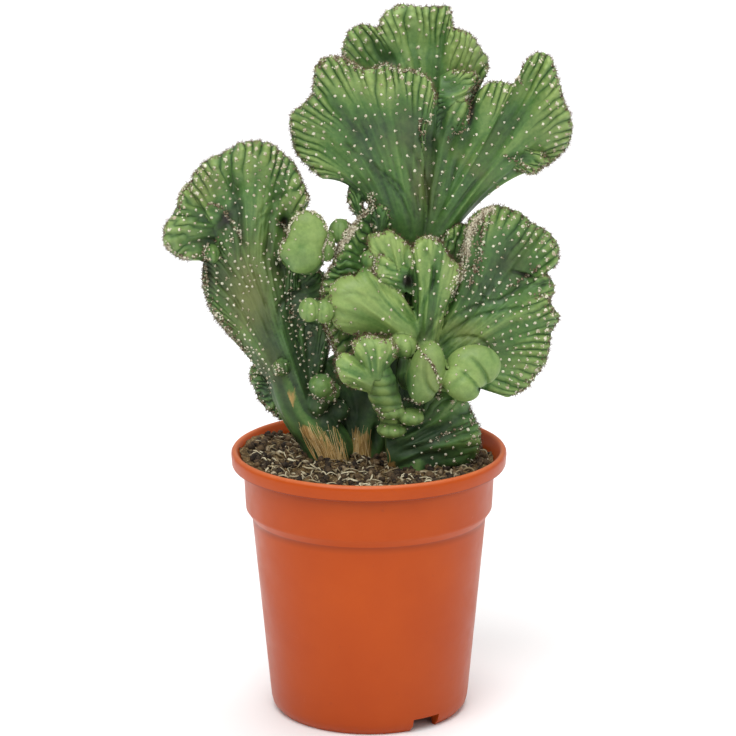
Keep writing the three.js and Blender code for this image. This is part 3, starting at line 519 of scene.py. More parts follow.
class Lobe:
    """A thick fan with ribs on both faces and a rounded crest. u runs across its ribs, v along them."""

    def __init__(self, spec, pitch, step, seed):
        self.spec = spec
        self.seed = seed
        self.step = step * spec.get("sparse", 1)
        self.curve = catmull_rom(spec["edge"], 24)
        self.along = length_along(self.curve)
        self.crest = self.along[-1]
        self.pairs = max(2, round(self.crest / spec.get("pitch", pitch)))
        self.root = [np.array(p, float) for p in spec["root"]]
        self.middle_root = (self.root[0] + self.root[1]) / 2
        self.half_root = (self.root[1] - self.root[0]) / 2
        self.hub = np.array(spec["hub"], float)
        given = spec.get("flanks", [None, None])
        self.flanks = [
            np.array(given[k], float) if given[k] else (self.root[k] + self.curve[-k]) / 2 for k in (0, 1)
        ]
        self.relief_share = spec.get("rib", 1)
        self.u_table = np.linspace(0, 1, 400)
        self.x_table = np.maximum.accumulate(self.rib_place(self.u_table))

    def waves(self, x, offset):
        return waves(x, self.seed + offset)

    def edge(self, u):
        at = np.clip(u, 0, 1) * self.crest
        return np.stack([np.interp(at, self.along, self.curve[:, k]) for k in (0, 1)], -1)

    def rib_place(self, u):
        """Which rib a place belongs to, in pairs of ribs, with ribs of uneven width."""
        return self.pairs * u + 0.09 * self.waves(self.pairs * u * 1.7, 0) * np.sin(math.pi * u)

    def wander(self, u, v):
        """How far a rib strays sideways on its way up, in pairs of ribs."""
        sway = 0.25 * self.waves(v * 4.2 + u * 11, 1) + 0.07 * self.waves(v * 12 + u * 5, 9)
        return sway * smoothstep(v, 0.25, 0.7)

    def bend(self, u):
        """Where a rib starts, bends and ends, its direction at the end, and its length."""
        aside = -np.cos(math.pi * u)[..., None]
        start = self.middle_root + self.half_root * aside
        end = self.edge(u)
        spread = self.spec.get("spread", SPREAD)
        inner = self.hub * (1 - spread) + end * spread
        flank = np.where((u < 0.5)[..., None], self.flanks[0], self.flanks[1])
        share = (np.abs(1 - 2 * u) ** FLANK_FADE)[..., None]
        middle = inner * (1 - share) + flank * share
        out = end - middle
        reach = np.linalg.norm(out, axis=-1)
        length = reach + np.linalg.norm(start - middle, axis=-1)
        return start, middle, end, out / reach[..., None], length

    def flat(self, u, v):
        start, middle, end, _, _ = self.bend(u)
        v = v[..., None]
        return (1 - v) ** 2 * start + 2 * v * (1 - v) * middle + v * v * end

    def ribs(self, u, v, length):
        """Height of the ribs over the skin, which rib a place is on, and how much of each pattern it has.

        Broad ridges and long swells run up from the root. Where there is room each ridge splits in two,
        and again close under the crest.
        """
        step = 0.004
        across = self.flat(np.clip(u + step, 0, 1), v) - self.flat(np.clip(u - step, 0, 1), v)
        pitch = np.linalg.norm(across, axis=-1) / (2 * step) / self.pairs
        x = self.rib_place(u) + self.wander(u, v)
        reach = self.spec.get("reach", RIB_REACH) * (1 + 0.45 * self.waves(self.pairs * u * 2.3, 6))
        near = 1 - smoothstep((1 - v) * length, 0.3 * reach, reach)
        share = smoothstep(pitch, 3.8, 5.6) * smoothstep(v, 0.2, 0.5)
        uneven = 0.84 + 0.16 * self.waves(self.pairs * u * 1.3 + 4 * v, 7)
        split = smoothstep(pitch, 5.0, 6.8) * near * uneven
        rise = smoothstep(v, 0.1, 0.6) * self.relief_share
        broad = smoothstep(pitch, 2.2, 5.0) * (1 - share) * rise
        wide = share * (1 - split) * rise * (0.45 + 0.55 * near)
        narrow = split * self.relief_share
        bump = -np.cos(TURN * (v * length / self.step - 0.5 * (np.floor(2 * x) % 2)))
        soft = np.abs(np.sin(math.pi * x))
        keen = np.abs(np.sin(TURN * x)) ** 0.65
        flow = self.waves(2.2 * TURN * u + 0.5 * v, 5) * smoothstep(v, 0.02, 0.3)
        strands = self.waves(1.7 * math.pi * x, 8) * smoothstep(v, 0.08, 0.3)
        flow = 0.8 * flow + 0.45 * strands * (1 - smoothstep(pitch, 5, 9))
        flow = flow * (1 - 0.75 * narrow) * self.spec.get("flow", 1) + 0.3 * bump * keen * narrow
        height = BROAD_RIDGE * broad * (np.abs(np.sin(math.pi * x / 2)) - 0.6) + FLOW_RIDGE * flow
        height += SOFT_RIDGE * wide * (soft - 0.6) + KEEN_RIB * narrow * (keen - 0.62 + 0.24 * bump * keen)
        height *= 1 + 0.32 * self.waves(2 * x * 1.1, 3)
        return height, 2 * x, {"broad": broad, "wide": wide, "narrow": narrow, "flow": flow}, keen

    def cap_start(self, length):
        return np.maximum(0.3, 1 - self.spec.get("puff", 1) * self.spec["thick"][2] / length)

    def half_thickness(self, u, v, length, height):
        root, body, lip = self.spec["thick"]
        thick = root * (1 - v) ** 2 + 2 * body * v * (1 - v) + lip * v * v
        below = (1 - v) * length
        rolled = 1 - smoothstep(below, 9, 24) - 1.1 * np.exp(-(((below - 31) / 8) ** 2))
        thick = thick + self.spec.get("roll", ROLL) * rolled * smoothstep(length, 28, 55)
        cap_start = self.cap_start(length)
        over = np.clip((v - cap_start) / (1 - cap_start), 0, 1)
        square = 0.72 if self.spec.get("puff", 1) == 1 else 0.5
        rounding = np.sin(math.pi * np.clip(u, 0, 1)) ** (1 - square * np.minimum(1, v * 1.15))
        return (thick + height) * np.sqrt(1 - over**2) * rounding

    def depth(self, u, v, place):
        """How far behind the photograph's middle plane the lobe's own middle lies."""
        get = self.spec.get
        away = self.spec["depth"]
        away = away + get("turn", 0) * (place[..., 0] - self.middle_root[0])
        away = away + get("lean", 0) * (place[..., 1] - self.middle_root[1])
        away = away + get("curl", 0) * v * v + get("bow", 0) * (2 * u - 1) ** 2 * v
        away = away + get("sink", 0) * (1 - v) ** 2
        for start_u, end_u, step_back in get("folds", []):
            away = away + step_back * smoothstep(u, start_u, end_u) * v
        away = away + get("ripple", 0) * v * v * np.sin(TURN * (get("waves", 1.5) * u + get("phase", 0)))
        return away + FRILL * v**3 * self.waves(u * self.crest / 5.5, 2)

    def at(self, u, v, face):
        """Places on the front (face -1) or back (1), with each place's marks for the material."""
        start, middle, end, out, length = self.bend(u)
        height, rib, shares, crown = self.ribs(u, v, length)
        uneven = 0.5 * self.waves(self.pairs * u * 1.6, 4) * self.relief_share
        tip = end + out * (shares["narrow"] * SCALLOP * (crown - 0.6) + uneven)[..., None]
        w = v[..., None]
        place = (1 - w) ** 2 * start + 2 * w * (1 - w) * middle + w * w * tip
        away = self.depth(u, v, place) + face * self.half_thickness(u, v, length, height)
        marks = {
            "rib": rib + 40 * (self.seed % 7),
            **shares,
            "crest": v,
            "young": np.full(np.shape(v), self.spec.get("young", 0.0)),
            "face": np.full(np.shape(v), float(face)),
        }
        return seen(place[..., 0], place[..., 1], away), marks

    def grid(self):
        """Vertices, faces and marks of the closed lobe, fine enough for its ribs."""
        columns = self.pairs * COLUMNS_A_PAIR
        u = np.linspace(0, 1, columns + 1)
        length = self.bend(u)[4]
        cap_start = self.cap_start(length)[:, None]
        body_rows = int(np.clip(np.max(length) / ROW_LENGTH, FEWEST_ROWS, MOST_ROWS))
        body = np.linspace(0, 1, body_rows + 1)[None, :] * cap_start
        arc = np.sin(math.pi / 2 * np.arange(1, CAP_ROWS + 1) / CAP_ROWS)[None, :]
        v = np.concatenate([body, cap_start + (1 - cap_start) * arc], 1)
        rows = v.shape[1]
        u = np.repeat(u[:, None], rows, 1)
        corner = (np.arange(columns)[:, None] * rows + np.arange(rows - 1)[None, :]).ravel()
        front = np.stack([corner, corner + rows, corner + rows + 1, corner + 1], -1)
        back = front[:, ::-1] + u.size
        root = np.arange(columns) * rows
        foot = np.stack([root, root + u.size, root + rows + u.size, root + rows], -1)
        sheets = [self.at(u, v, face) for face in (-1, 1)]
        points = np.concatenate([sheet[0].reshape(-1, 3) for sheet in sheets])
        marks = {key: np.concatenate([sheet[1][key].ravel() for sheet in sheets]) for key in sheets[0][1]}
        return points, np.concatenate([front, back, foot]), marks

    def normal(self, u, v, face):
        """Outward direction of the skin at places of one face."""
        step = 0.01
        du = self.at(np.clip(u + step, 0, 1), v, face)[0] - self.at(np.clip(u - step, 0, 1), v, face)[0]
        dv = self.at(u, np.clip(v + step, 0, 1), face)[0] - self.at(u, np.clip(v - step, 0, 1), face)[0]
        across = np.cross(du, dv)
        across /= np.linalg.norm(across, axis=-1, keepdims=True) + 1e-9
        flip = np.sign(across[..., 1] * face)
        return across * np.where(flip == 0, 1, flip)[..., None]


def plain_marks(points, middle, crest, young):
    """Marks of a body without a lobe's ribs."""
    count = len(points)
    marks = {key: np.zeros(count) for key in ("broad", "wide", "narrow", "flow")}
    marks.update(rib=np.full(count, 0.5), crest=np.full(count, crest), young=np.full(count, young))
    marks["face"] = np.where(points[:, 1] < middle, -1.0, 1.0)
    return marks


def trunk_grid(spec):
    """A stem or arm: oval rings run smooth from the tables, with low ribs, or swollen ring over ring."""
    rings = catmull_rom(spec["rings"], 10)
    angle = circle(TRUNK_SIDES)[None, :]
    ribs = spec.get("ribs", 0)
    swell = 1 + (0.09 * np.abs(np.cos(ribs * angle / 2)) - 0.04 if ribs else 0 * angle)
    stacked = rings[:, 1, None] / spec.get("stack", 1000.0)
    if "stack" in spec:
        swell = swell + 0.1 * np.abs(np.sin(math.pi * stacked)) ** 0.6 - 0.05
    centre = seen(rings[:, 0], rings[:, 1], rings[:, 2])
    x = centre[:, 0, None] + rings[:, 3, None] * swell * np.cos(angle)
    y = centre[:, 1, None] + rings[:, 4, None] * swell * np.sin(angle)
    z = np.repeat(centre[:, 2, None], TRUNK_SIDES, 1)
    points = np.concatenate([np.stack([x, y, z], -1).reshape(-1, 3), centre[:1], centre[-1:]])
    marks = plain_marks(points, centre[:, 1].mean(), 0.1, spec.get("young", 0.0))
    flow = 0.5 * np.cos(ribs * angle) + 0.5 * np.cos(5 * angle + 1) + 0 * stacked
    marks["flow"][: flow.size] = flow.ravel()
    if "stack" in spec:
        marks["rib"][: flow.size] = (stacked + 0 * angle).ravel()
        marks["narrow"][: flow.size] = 0.45
    return points, closed_faces(len(rings), TRUNK_SIDES), marks


def turned(points, degrees):
    """Points or directions turned in the plane of the view."""
    c, s = math.cos(math.radians(degrees)), math.sin(math.radians(degrees))
    x, y, z = np.moveaxis(points, -1, 0)
    return np.stack([c * x + s * z, y, -s * x + c * z], -1)


def egg(spec, theta, phi, swell):
    """Places on a knob's skin about its own middle, before it is turned."""
    width, height, depth = spec["size"]
    return np.stack([
        width * swell * np.sin(phi) * np.cos(theta),
        depth * swell * np.sin(phi) * np.sin(theta),
        height * np.cos(phi) * np.ones_like(theta),
    ], -1)


def knob_grid(spec):
    """A young knob or pad: an egg with low ribs from pole to pole, turned in the plane of the view."""
    theta = circle(KNOB_COLUMNS)[None, :]
    phi = np.linspace(0, math.pi, KNOB_ROWS + 1)[:, None]
    groove = spec.get("groove", 0.05)
    crown = np.abs(np.sin(KNOB_RIBS * theta / 2)) ** 0.6
    swell = 1 + groove * (crown - 0.6) * np.sin(phi)
    points = (turned(egg(spec, theta, phi, swell), spec.get("tilt", 0)) + seen(*spec["at"])).reshape(-1, 3)
    marks = plain_marks(points, spec["at"][2], 0.55, spec.get("young", 0.6))
    marks["rib"] = np.repeat(KNOB_RIBS * theta / TURN, KNOB_ROWS + 1, 0).ravel()
    marks["narrow"] = (5 * groove * np.sin(phi) * np.ones_like(theta)).ravel()
    return points, band_faces(KNOB_ROWS + 1, KNOB_COLUMNS)[:, [0, 3, 2, 1]], marks


# Meshes and pieces

def mesh_from(name, points, faces):
    """A mesh in metres from points in millimetres and faces with three or four corners."""
    corners = [row[:3] if row[2] == row[-1] else row for row in faces.tolist()]
    mesh = bpy.data.meshes.new(name)
    mesh.from_pydata((points * MM).tolist(), [], corners)
    mesh.update()
    return mesh


def linked(name, data):
    """An object made of the data, put in the scene."""
    thing = bpy.data.objects.new(name, data)
    bpy.context.scene.collection.objects.link(thing)
    return thing


def paint(piece, material):
    """Gives a visible piece its material, body and slot."""
    mesh = piece.data
    mesh.materials.clear()
    mesh.materials.append(material)
    mesh.polygons.foreach_set("use_smooth", [True] * len(mesh.polygons))
    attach(piece, "root")
    return piece


def changed_mesh(piece):
    """The piece's mesh as its modifiers make it."""
    depsgraph = bpy.context.evaluated_depsgraph_get()
    return bpy.data.meshes.new_from_object(piece.evaluated_get(depsgraph))


def set_mark(mesh, name, values):
    layer = mesh.attributes.new(name, "FLOAT", "POINT")
    layer.data.foreach_set("value", np.asarray(values, np.float32))


def tinted_piece(name, parts, material):
    """One piece of several (points, faces, tints) sets."""
    mesh = mesh_from(name, *joined(parts))
    set_mark(mesh, "tint", np.concatenate([np.broadcast_to(part[2], len(part[0])) for part in parts]))
    return paint(linked(name, mesh), material)


def spikes(bases, directions, lengths, width, tints):
    """Thin three-sided needles, closed at the foot."""
    along = unit(directions)
    across = unit(np.cross(along, np.array([0.31, 0.52, 0.79])))
    other = np.cross(along, across)
    points = np.empty((len(bases), 4, 3))
    for k in range(3):
        angle = TURN * k / 3
        points[:, k] = bases + (across * math.cos(angle) + other * math.sin(angle)) * width / 2
    points[:, 3] = bases + along * lengths[:, None]
    first = np.arange(len(bases))[:, None] * 4
    faces = np.concatenate([first + np.array(t) for t in ((0, 1, 3), (1, 2, 3), (2, 0, 3), (0, 2, 1))])
    return points.reshape(-1, 3), faces, np.repeat(tints, 4)


# The corners and triangles of a ball and of a smaller, plainer grain
GOLDEN = (1 + 5**0.5) / 2
BALL = (
    np.array([
        (-1, GOLDEN, 0), (1, GOLDEN, 0), (-1, -GOLDEN, 0), (1, -GOLDEN, 0), (0, -1, GOLDEN), (0, 1, GOLDEN),
        (0, -1, -GOLDEN), (0, 1, -GOLDEN), (GOLDEN, 0, -1), (GOLDEN, 0, 1), (-GOLDEN, 0, -1), (-GOLDEN, 0, 1),
    ]) / math.hypot(1, GOLDEN),
    np.array([
        (0, 11, 5), (0, 5, 1), (0, 1, 7), (0, 7, 10), (0, 10, 11), (1, 5, 9), (5, 11, 4), (11, 10, 2),
        (10, 7, 6), (7, 1, 8), (3, 9, 4), (3, 4, 2), (3, 2, 6), (3, 6, 8), (3, 8, 9), (4, 9, 5),
        (2, 4, 11), (6, 2, 10), (8, 6, 7), (9, 8, 1),
    ]),
)
GRAIN = (
    np.array([(1, 0, 0), (-1, 0, 0), (0, 1, 0), (0, -1, 0), (0, 0, 1), (0, 0, -1)], float),
    np.array([(0, 2, 4), (2, 1, 4), (1, 3, 4), (3, 0, 4), (2, 0, 5), (1, 2, 5), (3, 1, 5), (0, 3, 5)]),
)


def tufts(shape, centres, normals, radii, tints, rng):
    """Small woolly grains of one basic shape, each with its own wobble, a little flat along its normal."""
    corners, triangles = shape
    count = len(centres)
    grains = corners[None] * radii[:, None, None] * rng.uniform(0.7, 1.3, (count, len(corners), 1))
    squeeze = (grains * normals[:, None, :]).sum(-1, keepdims=True)
    grains = grains - 0.35 * squeeze * normals[:, None, :]
    points = (centres[:, None] + grains).reshape(-1, 3)
    faces = (np.arange(count)[:, None, None] * len(corners) + triangles[None]).reshape(-1, 3)
    return points, faces, np.repeat(tints, len(corners))


def tube(path, radius, sides):
    """A thin closed tube along a path; the radius may be one number or one for each point."""
    path = np.asarray(path, float)
    along = unit(np.gradient(path, axis=0))
    across = unit(np.cross(along, np.array([0.23, 0.31, 0.92])))
    other = np.cross(along, across)
    angle = circle(sides)[None, :, None]
    radius = np.broadcast_to(radius, len(path))[:, None, None]
    ring = path[:, None] + radius * (across[:, None] * np.cos(angle) + other[:, None] * np.sin(angle))
    points = np.concatenate([ring.reshape(-1, 3), path[:1], path[-1:]])
    return points, halves_of(closed_faces(len(path), sides))


def lathe(profile, sides):
    """A closed body turned round the Z axis; the profile starts and ends on it."""
    rings = [ring_at(radius, height, circle(sides)) for radius, height in profile[1:-1]]
    ends = [[(0, 0, profile[0][1])], [(0, 0, profile[-1][1])]]
    return np.concatenate(rings + ends), closed_faces(len(rings), sides)


# Materials

def srgb(red, green, blue):
    """A colour given in steps of 255, as the linear values that a shader takes."""
    linear = []
    for value in (red, green, blue):
        share = value / 255
        linear.append(share / 12.92 if share <= 0.04045 else ((share + 0.055) / 1.055) ** 2.4)
    return (*linear, 1.0)


class Material:
    """A principled material with helpers for the nodes that colour it. Object coordinates are metres.

    Colours are given in steps of 255, and what a helper returns can feed another.
    """

    def __init__(self, name, **uniform):
        self.data = bpy.data.materials.new(name)
        self.data.use_nodes = True
        self.tree = self.data.node_tree
        self.tree.nodes.clear()
        self.shader = self.node("ShaderNodeBsdfPrincipled")
        self.node("ShaderNodeOutputMaterial", Surface=self.shader.outputs["BSDF"])
        self.place = self.node("ShaderNodeTexCoord").outputs["Object"]
        for socket, value in uniform.items():
            self.shader.inputs[socket.replace("_", " ")].default_value = value

    def node(self, kind, **inputs):
        """A new node of that kind; an input may be another node's output, a number or a colour."""
        node = self.tree.nodes.new(kind)
        for name, value in inputs.items():
            self.feed(value, node.inputs[name.replace("_", " ")])
        return node

    def feed(self, value, socket):
        if hasattr(value, "is_output"):
            self.tree.links.new(value, socket)
        elif isinstance(value, tuple) and socket.type == "RGBA":
            socket.default_value = srgb(*value)
        else:
            socket.default_value = value

    def noise(self, scale, detail=2.0, roughness=0.5, distortion=0.0, stretch=None):
        place = self.place
        if stretch:
            place = self.node("ShaderNodeMapping", Scale=stretch, Vector=place).outputs["Vector"]
        look = dict(Scale=scale, Detail=detail, Roughness=roughness, Distortion=distortion)
        return self.node("ShaderNodeTexNoise", Vector=place, **look).outputs["Fac"]

    def cells(self, scale):
        return self.node("ShaderNodeTexVoronoi", Scale=scale, Vector=self.place).outputs["Distance"]

    def mark(self, name):
        node = self.node("ShaderNodeAttribute")
        node.attribute_name = name
        return node.outputs["Fac"]

    def height(self):
        """How high a place lies, in metres."""
        return self.node("ShaderNodeSeparateXYZ", Vector=self.place).outputs["Z"]

    def ranged(self, value, low, high, to_low=0.0, to_high=1.0):
        limits = dict(From_Min=low, From_Max=high, To_Min=to_low, To_Max=to_high)
        return self.node("ShaderNodeMapRange", Value=value, **limits).outputs["Result"]

    def math(self, operation, a, b=0):
        node = self.node("ShaderNodeMath")
        node.operation = operation
        self.feed(a, node.inputs[0])
        self.feed(b, node.inputs[1])
        return node.outputs["Value"]

    def add(self, first, *others):
        for other in others:
            first = self.math("ADD", first, other)
        return first

    def times(self, a, b):
        return self.math("MULTIPLY", a, b)

    def mix(self, share, a, b):
        node = self.node("ShaderNodeMix")
        node.data_type = "RGBA"
        node.clamp_factor = True
        for value, socket in zip((share, a, b), (node.inputs["Factor"], node.inputs[6], node.inputs[7])):
            self.feed(value, socket)
        return node.outputs[2]

    def layered(self, colour, layers):
        """The colour with further ones laid over it, each given as a share and a colour."""
        for share, over in layers:
            colour = self.mix(share, colour, over)
        return colour

    def finish(self, colour, roughness, bumps):
        """bumps: each is a height and how far it stands out, in millimetres."""
        self.feed(colour, self.shader.inputs["Base Color"])
        self.feed(roughness, self.shader.inputs["Roughness"])
        normal = {}
        for height, distance in bumps:
            bump = self.node("ShaderNodeBump", Distance=distance * MM, Height=height, **normal)
            normal = {"Normal": bump.outputs["Normal"]}
        self.feed(normal["Normal"], self.shader.inputs["Normal"])
        return self.data


def flesh_material():
    m = Material("cactus_flesh", Specular_IOR_Level=0.4)
    marks = ("rib", "narrow", "wide", "broad", "hollow_and_shade", "cork")
    rib, narrow, wide, broad, hollow_and_shade, cork = (m.mark(name) for name in marks)

    def crowns(share):
        """One over the middle of each rib that takes that share of a rib number, and nought between two."""
        return m.math("ABSOLUTE", m.math("SINE", m.times(rib, math.pi * share)))

    def valleys(amount, crown, power):
        return m.times(amount, m.math("POWER", m.math("SUBTRACT", 1, crown), power))

    keen = m.math("POWER", crowns(1), 0.65)
    wide_crown, broad_crown = crowns(0.5), crowns(0.25)
    keen_valley_shade = valleys(narrow, keen, 1.0)
    soft_valley_shade = m.add(valleys(wide, wide_crown, 2.0), m.times(valleys(broad, broad_crown, 2.0), 0.7))
    low_crown = m.times(broad, m.times(broad_crown, 0.7))
    crown = m.add(m.times(narrow, keen), m.times(wide, wide_crown), low_crown)
    # Painted light and shade in the tone: lighter rib crowns, light crowns and dark sides of the narrow ribs,
    # light swells and dark furrows of the flow, darker hollows; lighter towards the crest is both young
    # growth and painted light
    tone = m.add(
        m.ranged(m.noise(18, 3, 0.55), 0.35, 0.65, 0.26, 0.54),
        m.ranged(m.mark("crest"), 0.4, 1, -0.12, 0.36),
        m.times(m.mark("young"), 0.6),
        m.ranged(crown, 0.0, 1.0, -0.04, 0.1),
        m.times(narrow, m.ranged(keen, 0.3, 0.95, -0.36, 0.24)),
        m.ranged(m.mark("flow"), -1.0, 1.0, -0.36, 0.38),
        m.ranged(m.noise(420, 4, 0.65), 0.3, 0.7, -0.12, 0.12),
        m.times(hollow_and_shade, -0.55),
        m.times(m.mark("pale"), 0.5),
    )
    colour = m.mix(m.ranged(tone, -0.15, 0.45), (36, 60, 35), (74, 114, 52))
    yellowed = m.add(m.mark("olive"), m.ranged(m.noise(24, 4, 0.6), 0.5, 0.75, 0.0, 0.4))
    patchy = m.ranged(m.noise(75, 3), 0.35, 0.65, 0.4, 1.0)
    streaks = m.noise(170, 5, 0.65, 0.4, (1, 1, 0.16))
    torn = m.ranged(m.noise(150, 5, 0.7, 0.3, (1, 1, 0.22)), 0.25, 0.75, -0.7, 0.7)
    corked = m.add(cork, m.times(torn, m.ranged(cork, 0.0, 0.1)))
    corky = m.mix(m.ranged(streaks, 0.3, 0.7), (132, 92, 48), (214, 176, 108))
    colour = m.layered(colour, [
        (m.ranged(tone, 0.45, 1.15), (146, 171, 96)),
        (m.ranged(m.noise(260, 4, 0.6), 0.35, 0.7, 0.0, 0.16), (126, 152, 88)),
        (m.ranged(m.noise(34, 3, 0.6), 0.45, 0.7, 0.0, 0.22), (84, 122, 84)),
        (m.times(yellowed, 0.55), (122, 128, 72)),
        (m.ranged(m.noise(90, 4, 0.65), 0.5, 0.75, 0.0, 0.3), (34, 60, 34)),
        # Painted shade: dark rib valleys, and nearly black in the deepest hollows and creases
        (m.times(m.ranged(keen_valley_shade, 0.35, 0.9, 0.0, 0.72), patchy), (24, 46, 26)),
        (m.ranged(soft_valley_shade, 0.4, 1.0, 0.0, 0.3), (30, 54, 32)),
        (m.ranged(hollow_and_shade, 0.9, 1.6, 0.0, 0.9), (30, 22, 18)),
        (m.ranged(corked, 0.4, 0.75, 0.0, 0.9), corky),
    ])
    roughness = m.ranged(m.noise(60, 3), 0.3, 0.7, 0.42, 0.6)
    folds = m.times(m.math("SUBTRACT", keen, 1), narrow)
    bumps = [(m.noise(900, 3, 0.6), 0.08), (m.noise(210, 3, 0.55), 0.25), (folds, 1.3)]
    return m.finish(colour, roughness, bumps)


def tinted_material(name, dark, middle, light, roughness, fine, bump, **uniform):
    """Wool, spines and fibres: the mark tint runs from dark over middle to light."""
    m = Material(name, **uniform)
    tint = m.add(m.mark("tint"), m.ranged(m.noise(fine, 3), 0.3, 0.7, -0.12, 0.12))
    colour = m.mix(m.ranged(tint, 0.5, 1.0), m.mix(m.ranged(tint, 0.0, 0.5), dark, middle), light)
    highlight_and_roughness = m.ranged(m.noise(fine / 3, 2), 0.3, 0.7, roughness - 0.06, roughness + 0.06)
    return m.finish(colour, highlight_and_roughness, [(m.noise(fine * 2, 3), bump)])


def plastic_material():
    m = Material("pot_plastic", Specular_IOR_Level=0.2, Coat_Weight=0.04, Coat_Roughness=0.3)
    colour = m.mix(m.ranged(m.noise(22, 4, 0.6), 0.3, 0.7), (175, 68, 8), (183, 75, 12))
    scuffs = m.noise(36, 6, 0.72, 0.6, (1, 1, 1.6))
    layers = [
        (m.ranged(scuffs, 0.66, 0.78, 0.0, 0.3), (196, 108, 72)),
        (m.ranged(m.noise(150, 4, 0.7), 0.66, 0.74, 0.0, 0.35), (146, 58, 30)),
    ]
    # Painted shade just under the lip and under the step, darkest against the ledge
    for height, breadth, depth in ((LIP_FOOT, 5.5, 0.6), (STEP_FOOT, 4.5, 0.45)):
        ledge_shade = m.ranged(m.height(), (height - breadth) * MM, height * MM, 0.0, depth)
        above = m.math("LESS_THAN", m.height(), (height + 0.6) * MM)
        layers.append((m.times(ledge_shade, above), (112, 40, 18)))
    # Painted highlight along the top of the rim, patchy with the scuffs
    highlight_and_roughness = m.ranged(m.height(), (RIM_TOP - 1.8) * MM, RIM_TOP * MM, 0.0, 0.6)
    # Painted shade: the pot darker towards its bottom
    layers.append((m.ranged(m.height(), 0.0, 0.1, 0.3, 0.0), (140, 52, 20)))
    layers.append((m.times(highlight_and_roughness, m.ranged(scuffs, 0.3, 0.6, 0.6, 1.0)), (226, 136, 92)))
    roughness = m.ranged(m.noise(48, 5, 0.65), 0.3, 0.7, 0.3, 0.46)
    bumps = [(m.noise(1400, 2), 0.015), (m.noise(30, 2, 0.5, 0, (1, 1, 2.5)), 0.25)]
    return m.finish(m.layered(colour, layers), roughness, bumps)


def soil_material():
    m = Material("peat_soil", Specular_IOR_Level=0.25)
    colour = m.mix(m.ranged(m.noise(150, 5, 0.7), 0.35, 0.7), (28, 20, 13), (126, 100, 64))
    colour = m.mix(m.ranged(m.noise(520, 4, 0.7), 0.52, 0.68, 0.0, 0.7), colour, (194, 170, 124))
    roughness = m.ranged(m.noise(300, 3), 0.3, 0.7, 0.82, 0.98)
    return m.finish(colour, roughness, [(m.noise(700, 5, 0.7), 0.5), (m.cells(420), 0.5)])


def floor_material():
    m = Material("studio_floor", Specular_IOR_Level=0.1)
    colour = m.mix(m.ranged(m.noise(3, 3), 0.3, 0.7), (246, 246, 246), (250, 250, 250))
    roughness = m.ranged(m.noise(12, 3), 0.3, 0.7, 0.72, 0.8)
    return m.finish(colour, roughness, [(m.noise(260, 3), 0.03)])


# Marks on the skin

# Hollows between the lobes, in the photograph's view, pressed into the skin and darkened with painted shade:
# place, half width, half height, tilt in degrees and strength; over 1 the hollow is painted nearly black, as
# deep shade with old spines
SHADED_HOLLOWS = {
    "upper": [
        (20, 360, 13, 7, -10, 0.8), (34, 361, 5, 9, 20, 1.1), (57, 361, 11, 8, 0, 0.9),
        (44, 372, 3, 12, 0, 0.9), (63, 378, 2.5, 17, -10, 1.7), (14, 408, 6, 6, 20, 0.8),
        (-14, 330, 12, 3, -12, 0.9), (76, 370, 4, 9, -20, 0.5), (90, 349, 9, 2, 15, 0.7),
        (-10, 356, 16, 2, 12, 0.4), (2, 312, 9, 12, 20, 1.0), (12, 367, 25, 12, 0, 0.8),
        (-22, 352, 18, 8, -25, 0.35), (86, 368, 22, 10, 20, 0.5), (-8, 329, 15, 7, -10, 0.8),
        (-18, 282, 11, 11, 30, 0.8), (-5, 194, 14, 16, 0, 1.2), (6, 216, 14, 12, 0, 1.2),
        (4, 174, 3, 9, 0, 1.2),
    ],
    "left": [
        (-87, 309, 4.5, 14, -42, 1.4), (-92, 302, 7, 6, 0, 0.9), (-97, 276, 3.5, 18, 5, 1.3),
        (-51, 308, 4, 5, 0, 1.7), (-53, 281, 5, 6, 0, 1.3), (-34, 238, 10, 20, 0, 0.9),
        (-64, 204, 6, 16, -15, 0.9), (-67, 330, 10, 11, 0, 0.5), (-88, 262, 6, 30, 10, 0.4),
        (-53, 216, 4, 6, 0, 0.7), (-62, 308, 2, 10, -20, 0.6), (-45, 252, 5, 12, 0, 0.6),
        (-90, 322, 12, 3, 25, 0.3), (-78, 228, 6, 14, 40, 0.4), (-58, 337, 8, 2, 18, 0.5),
        (-42, 262, 7, 4, 0, 1.0), (-74, 258, 18, 18, 0, 0.55), (-40, 293, 3.5, 3.5, 0, 0.4),
        (-31, 266, 10, 12, 0, 0.9), (-22, 188, 8, 8, 0, 1.0), (-35, 196, 3, 10, 10, 0.8),
        (-46, 168, 7, 6, 0, 0.8), (-90, 300, 7, 4, -20, 0.6),
    ],
    "right": [
        (24, 271, 4.5, 6, 0, 1.8), (95, 275, 12, 2.0, -18, 1.5), (107, 268, 5, 2, 25, 1.0),
        (112, 261, 3, 2, 0, 0.8), (62, 276, 5, 16, -6, 0.9), (88, 282, 24, 18, 0, 0.7),
        (34, 238, 4, 6, 0, 0.5), (18, 219, 5, 8, 0, 1.3), (8, 228, 10, 2, 0, 0.3),
        (-4, 282, 4, 8, 0, 0.9), (20, 206, 6, 9, 0, 1.3), (74, 268, 4, 10, 20, 0.6),
        (40, 176, 22, 4, -12, 0.6), (30, 163, 18, 4, -8, 0.9), (54, 208, 12, 2, 40, 0.5),
        (67, 296, 3.5, 16, -3, 0.8), (92, 292, 18, 10, -10, 0.6), (68.5, 202.5, 1.8, 1.6, 0, 1.0),
    ],
}
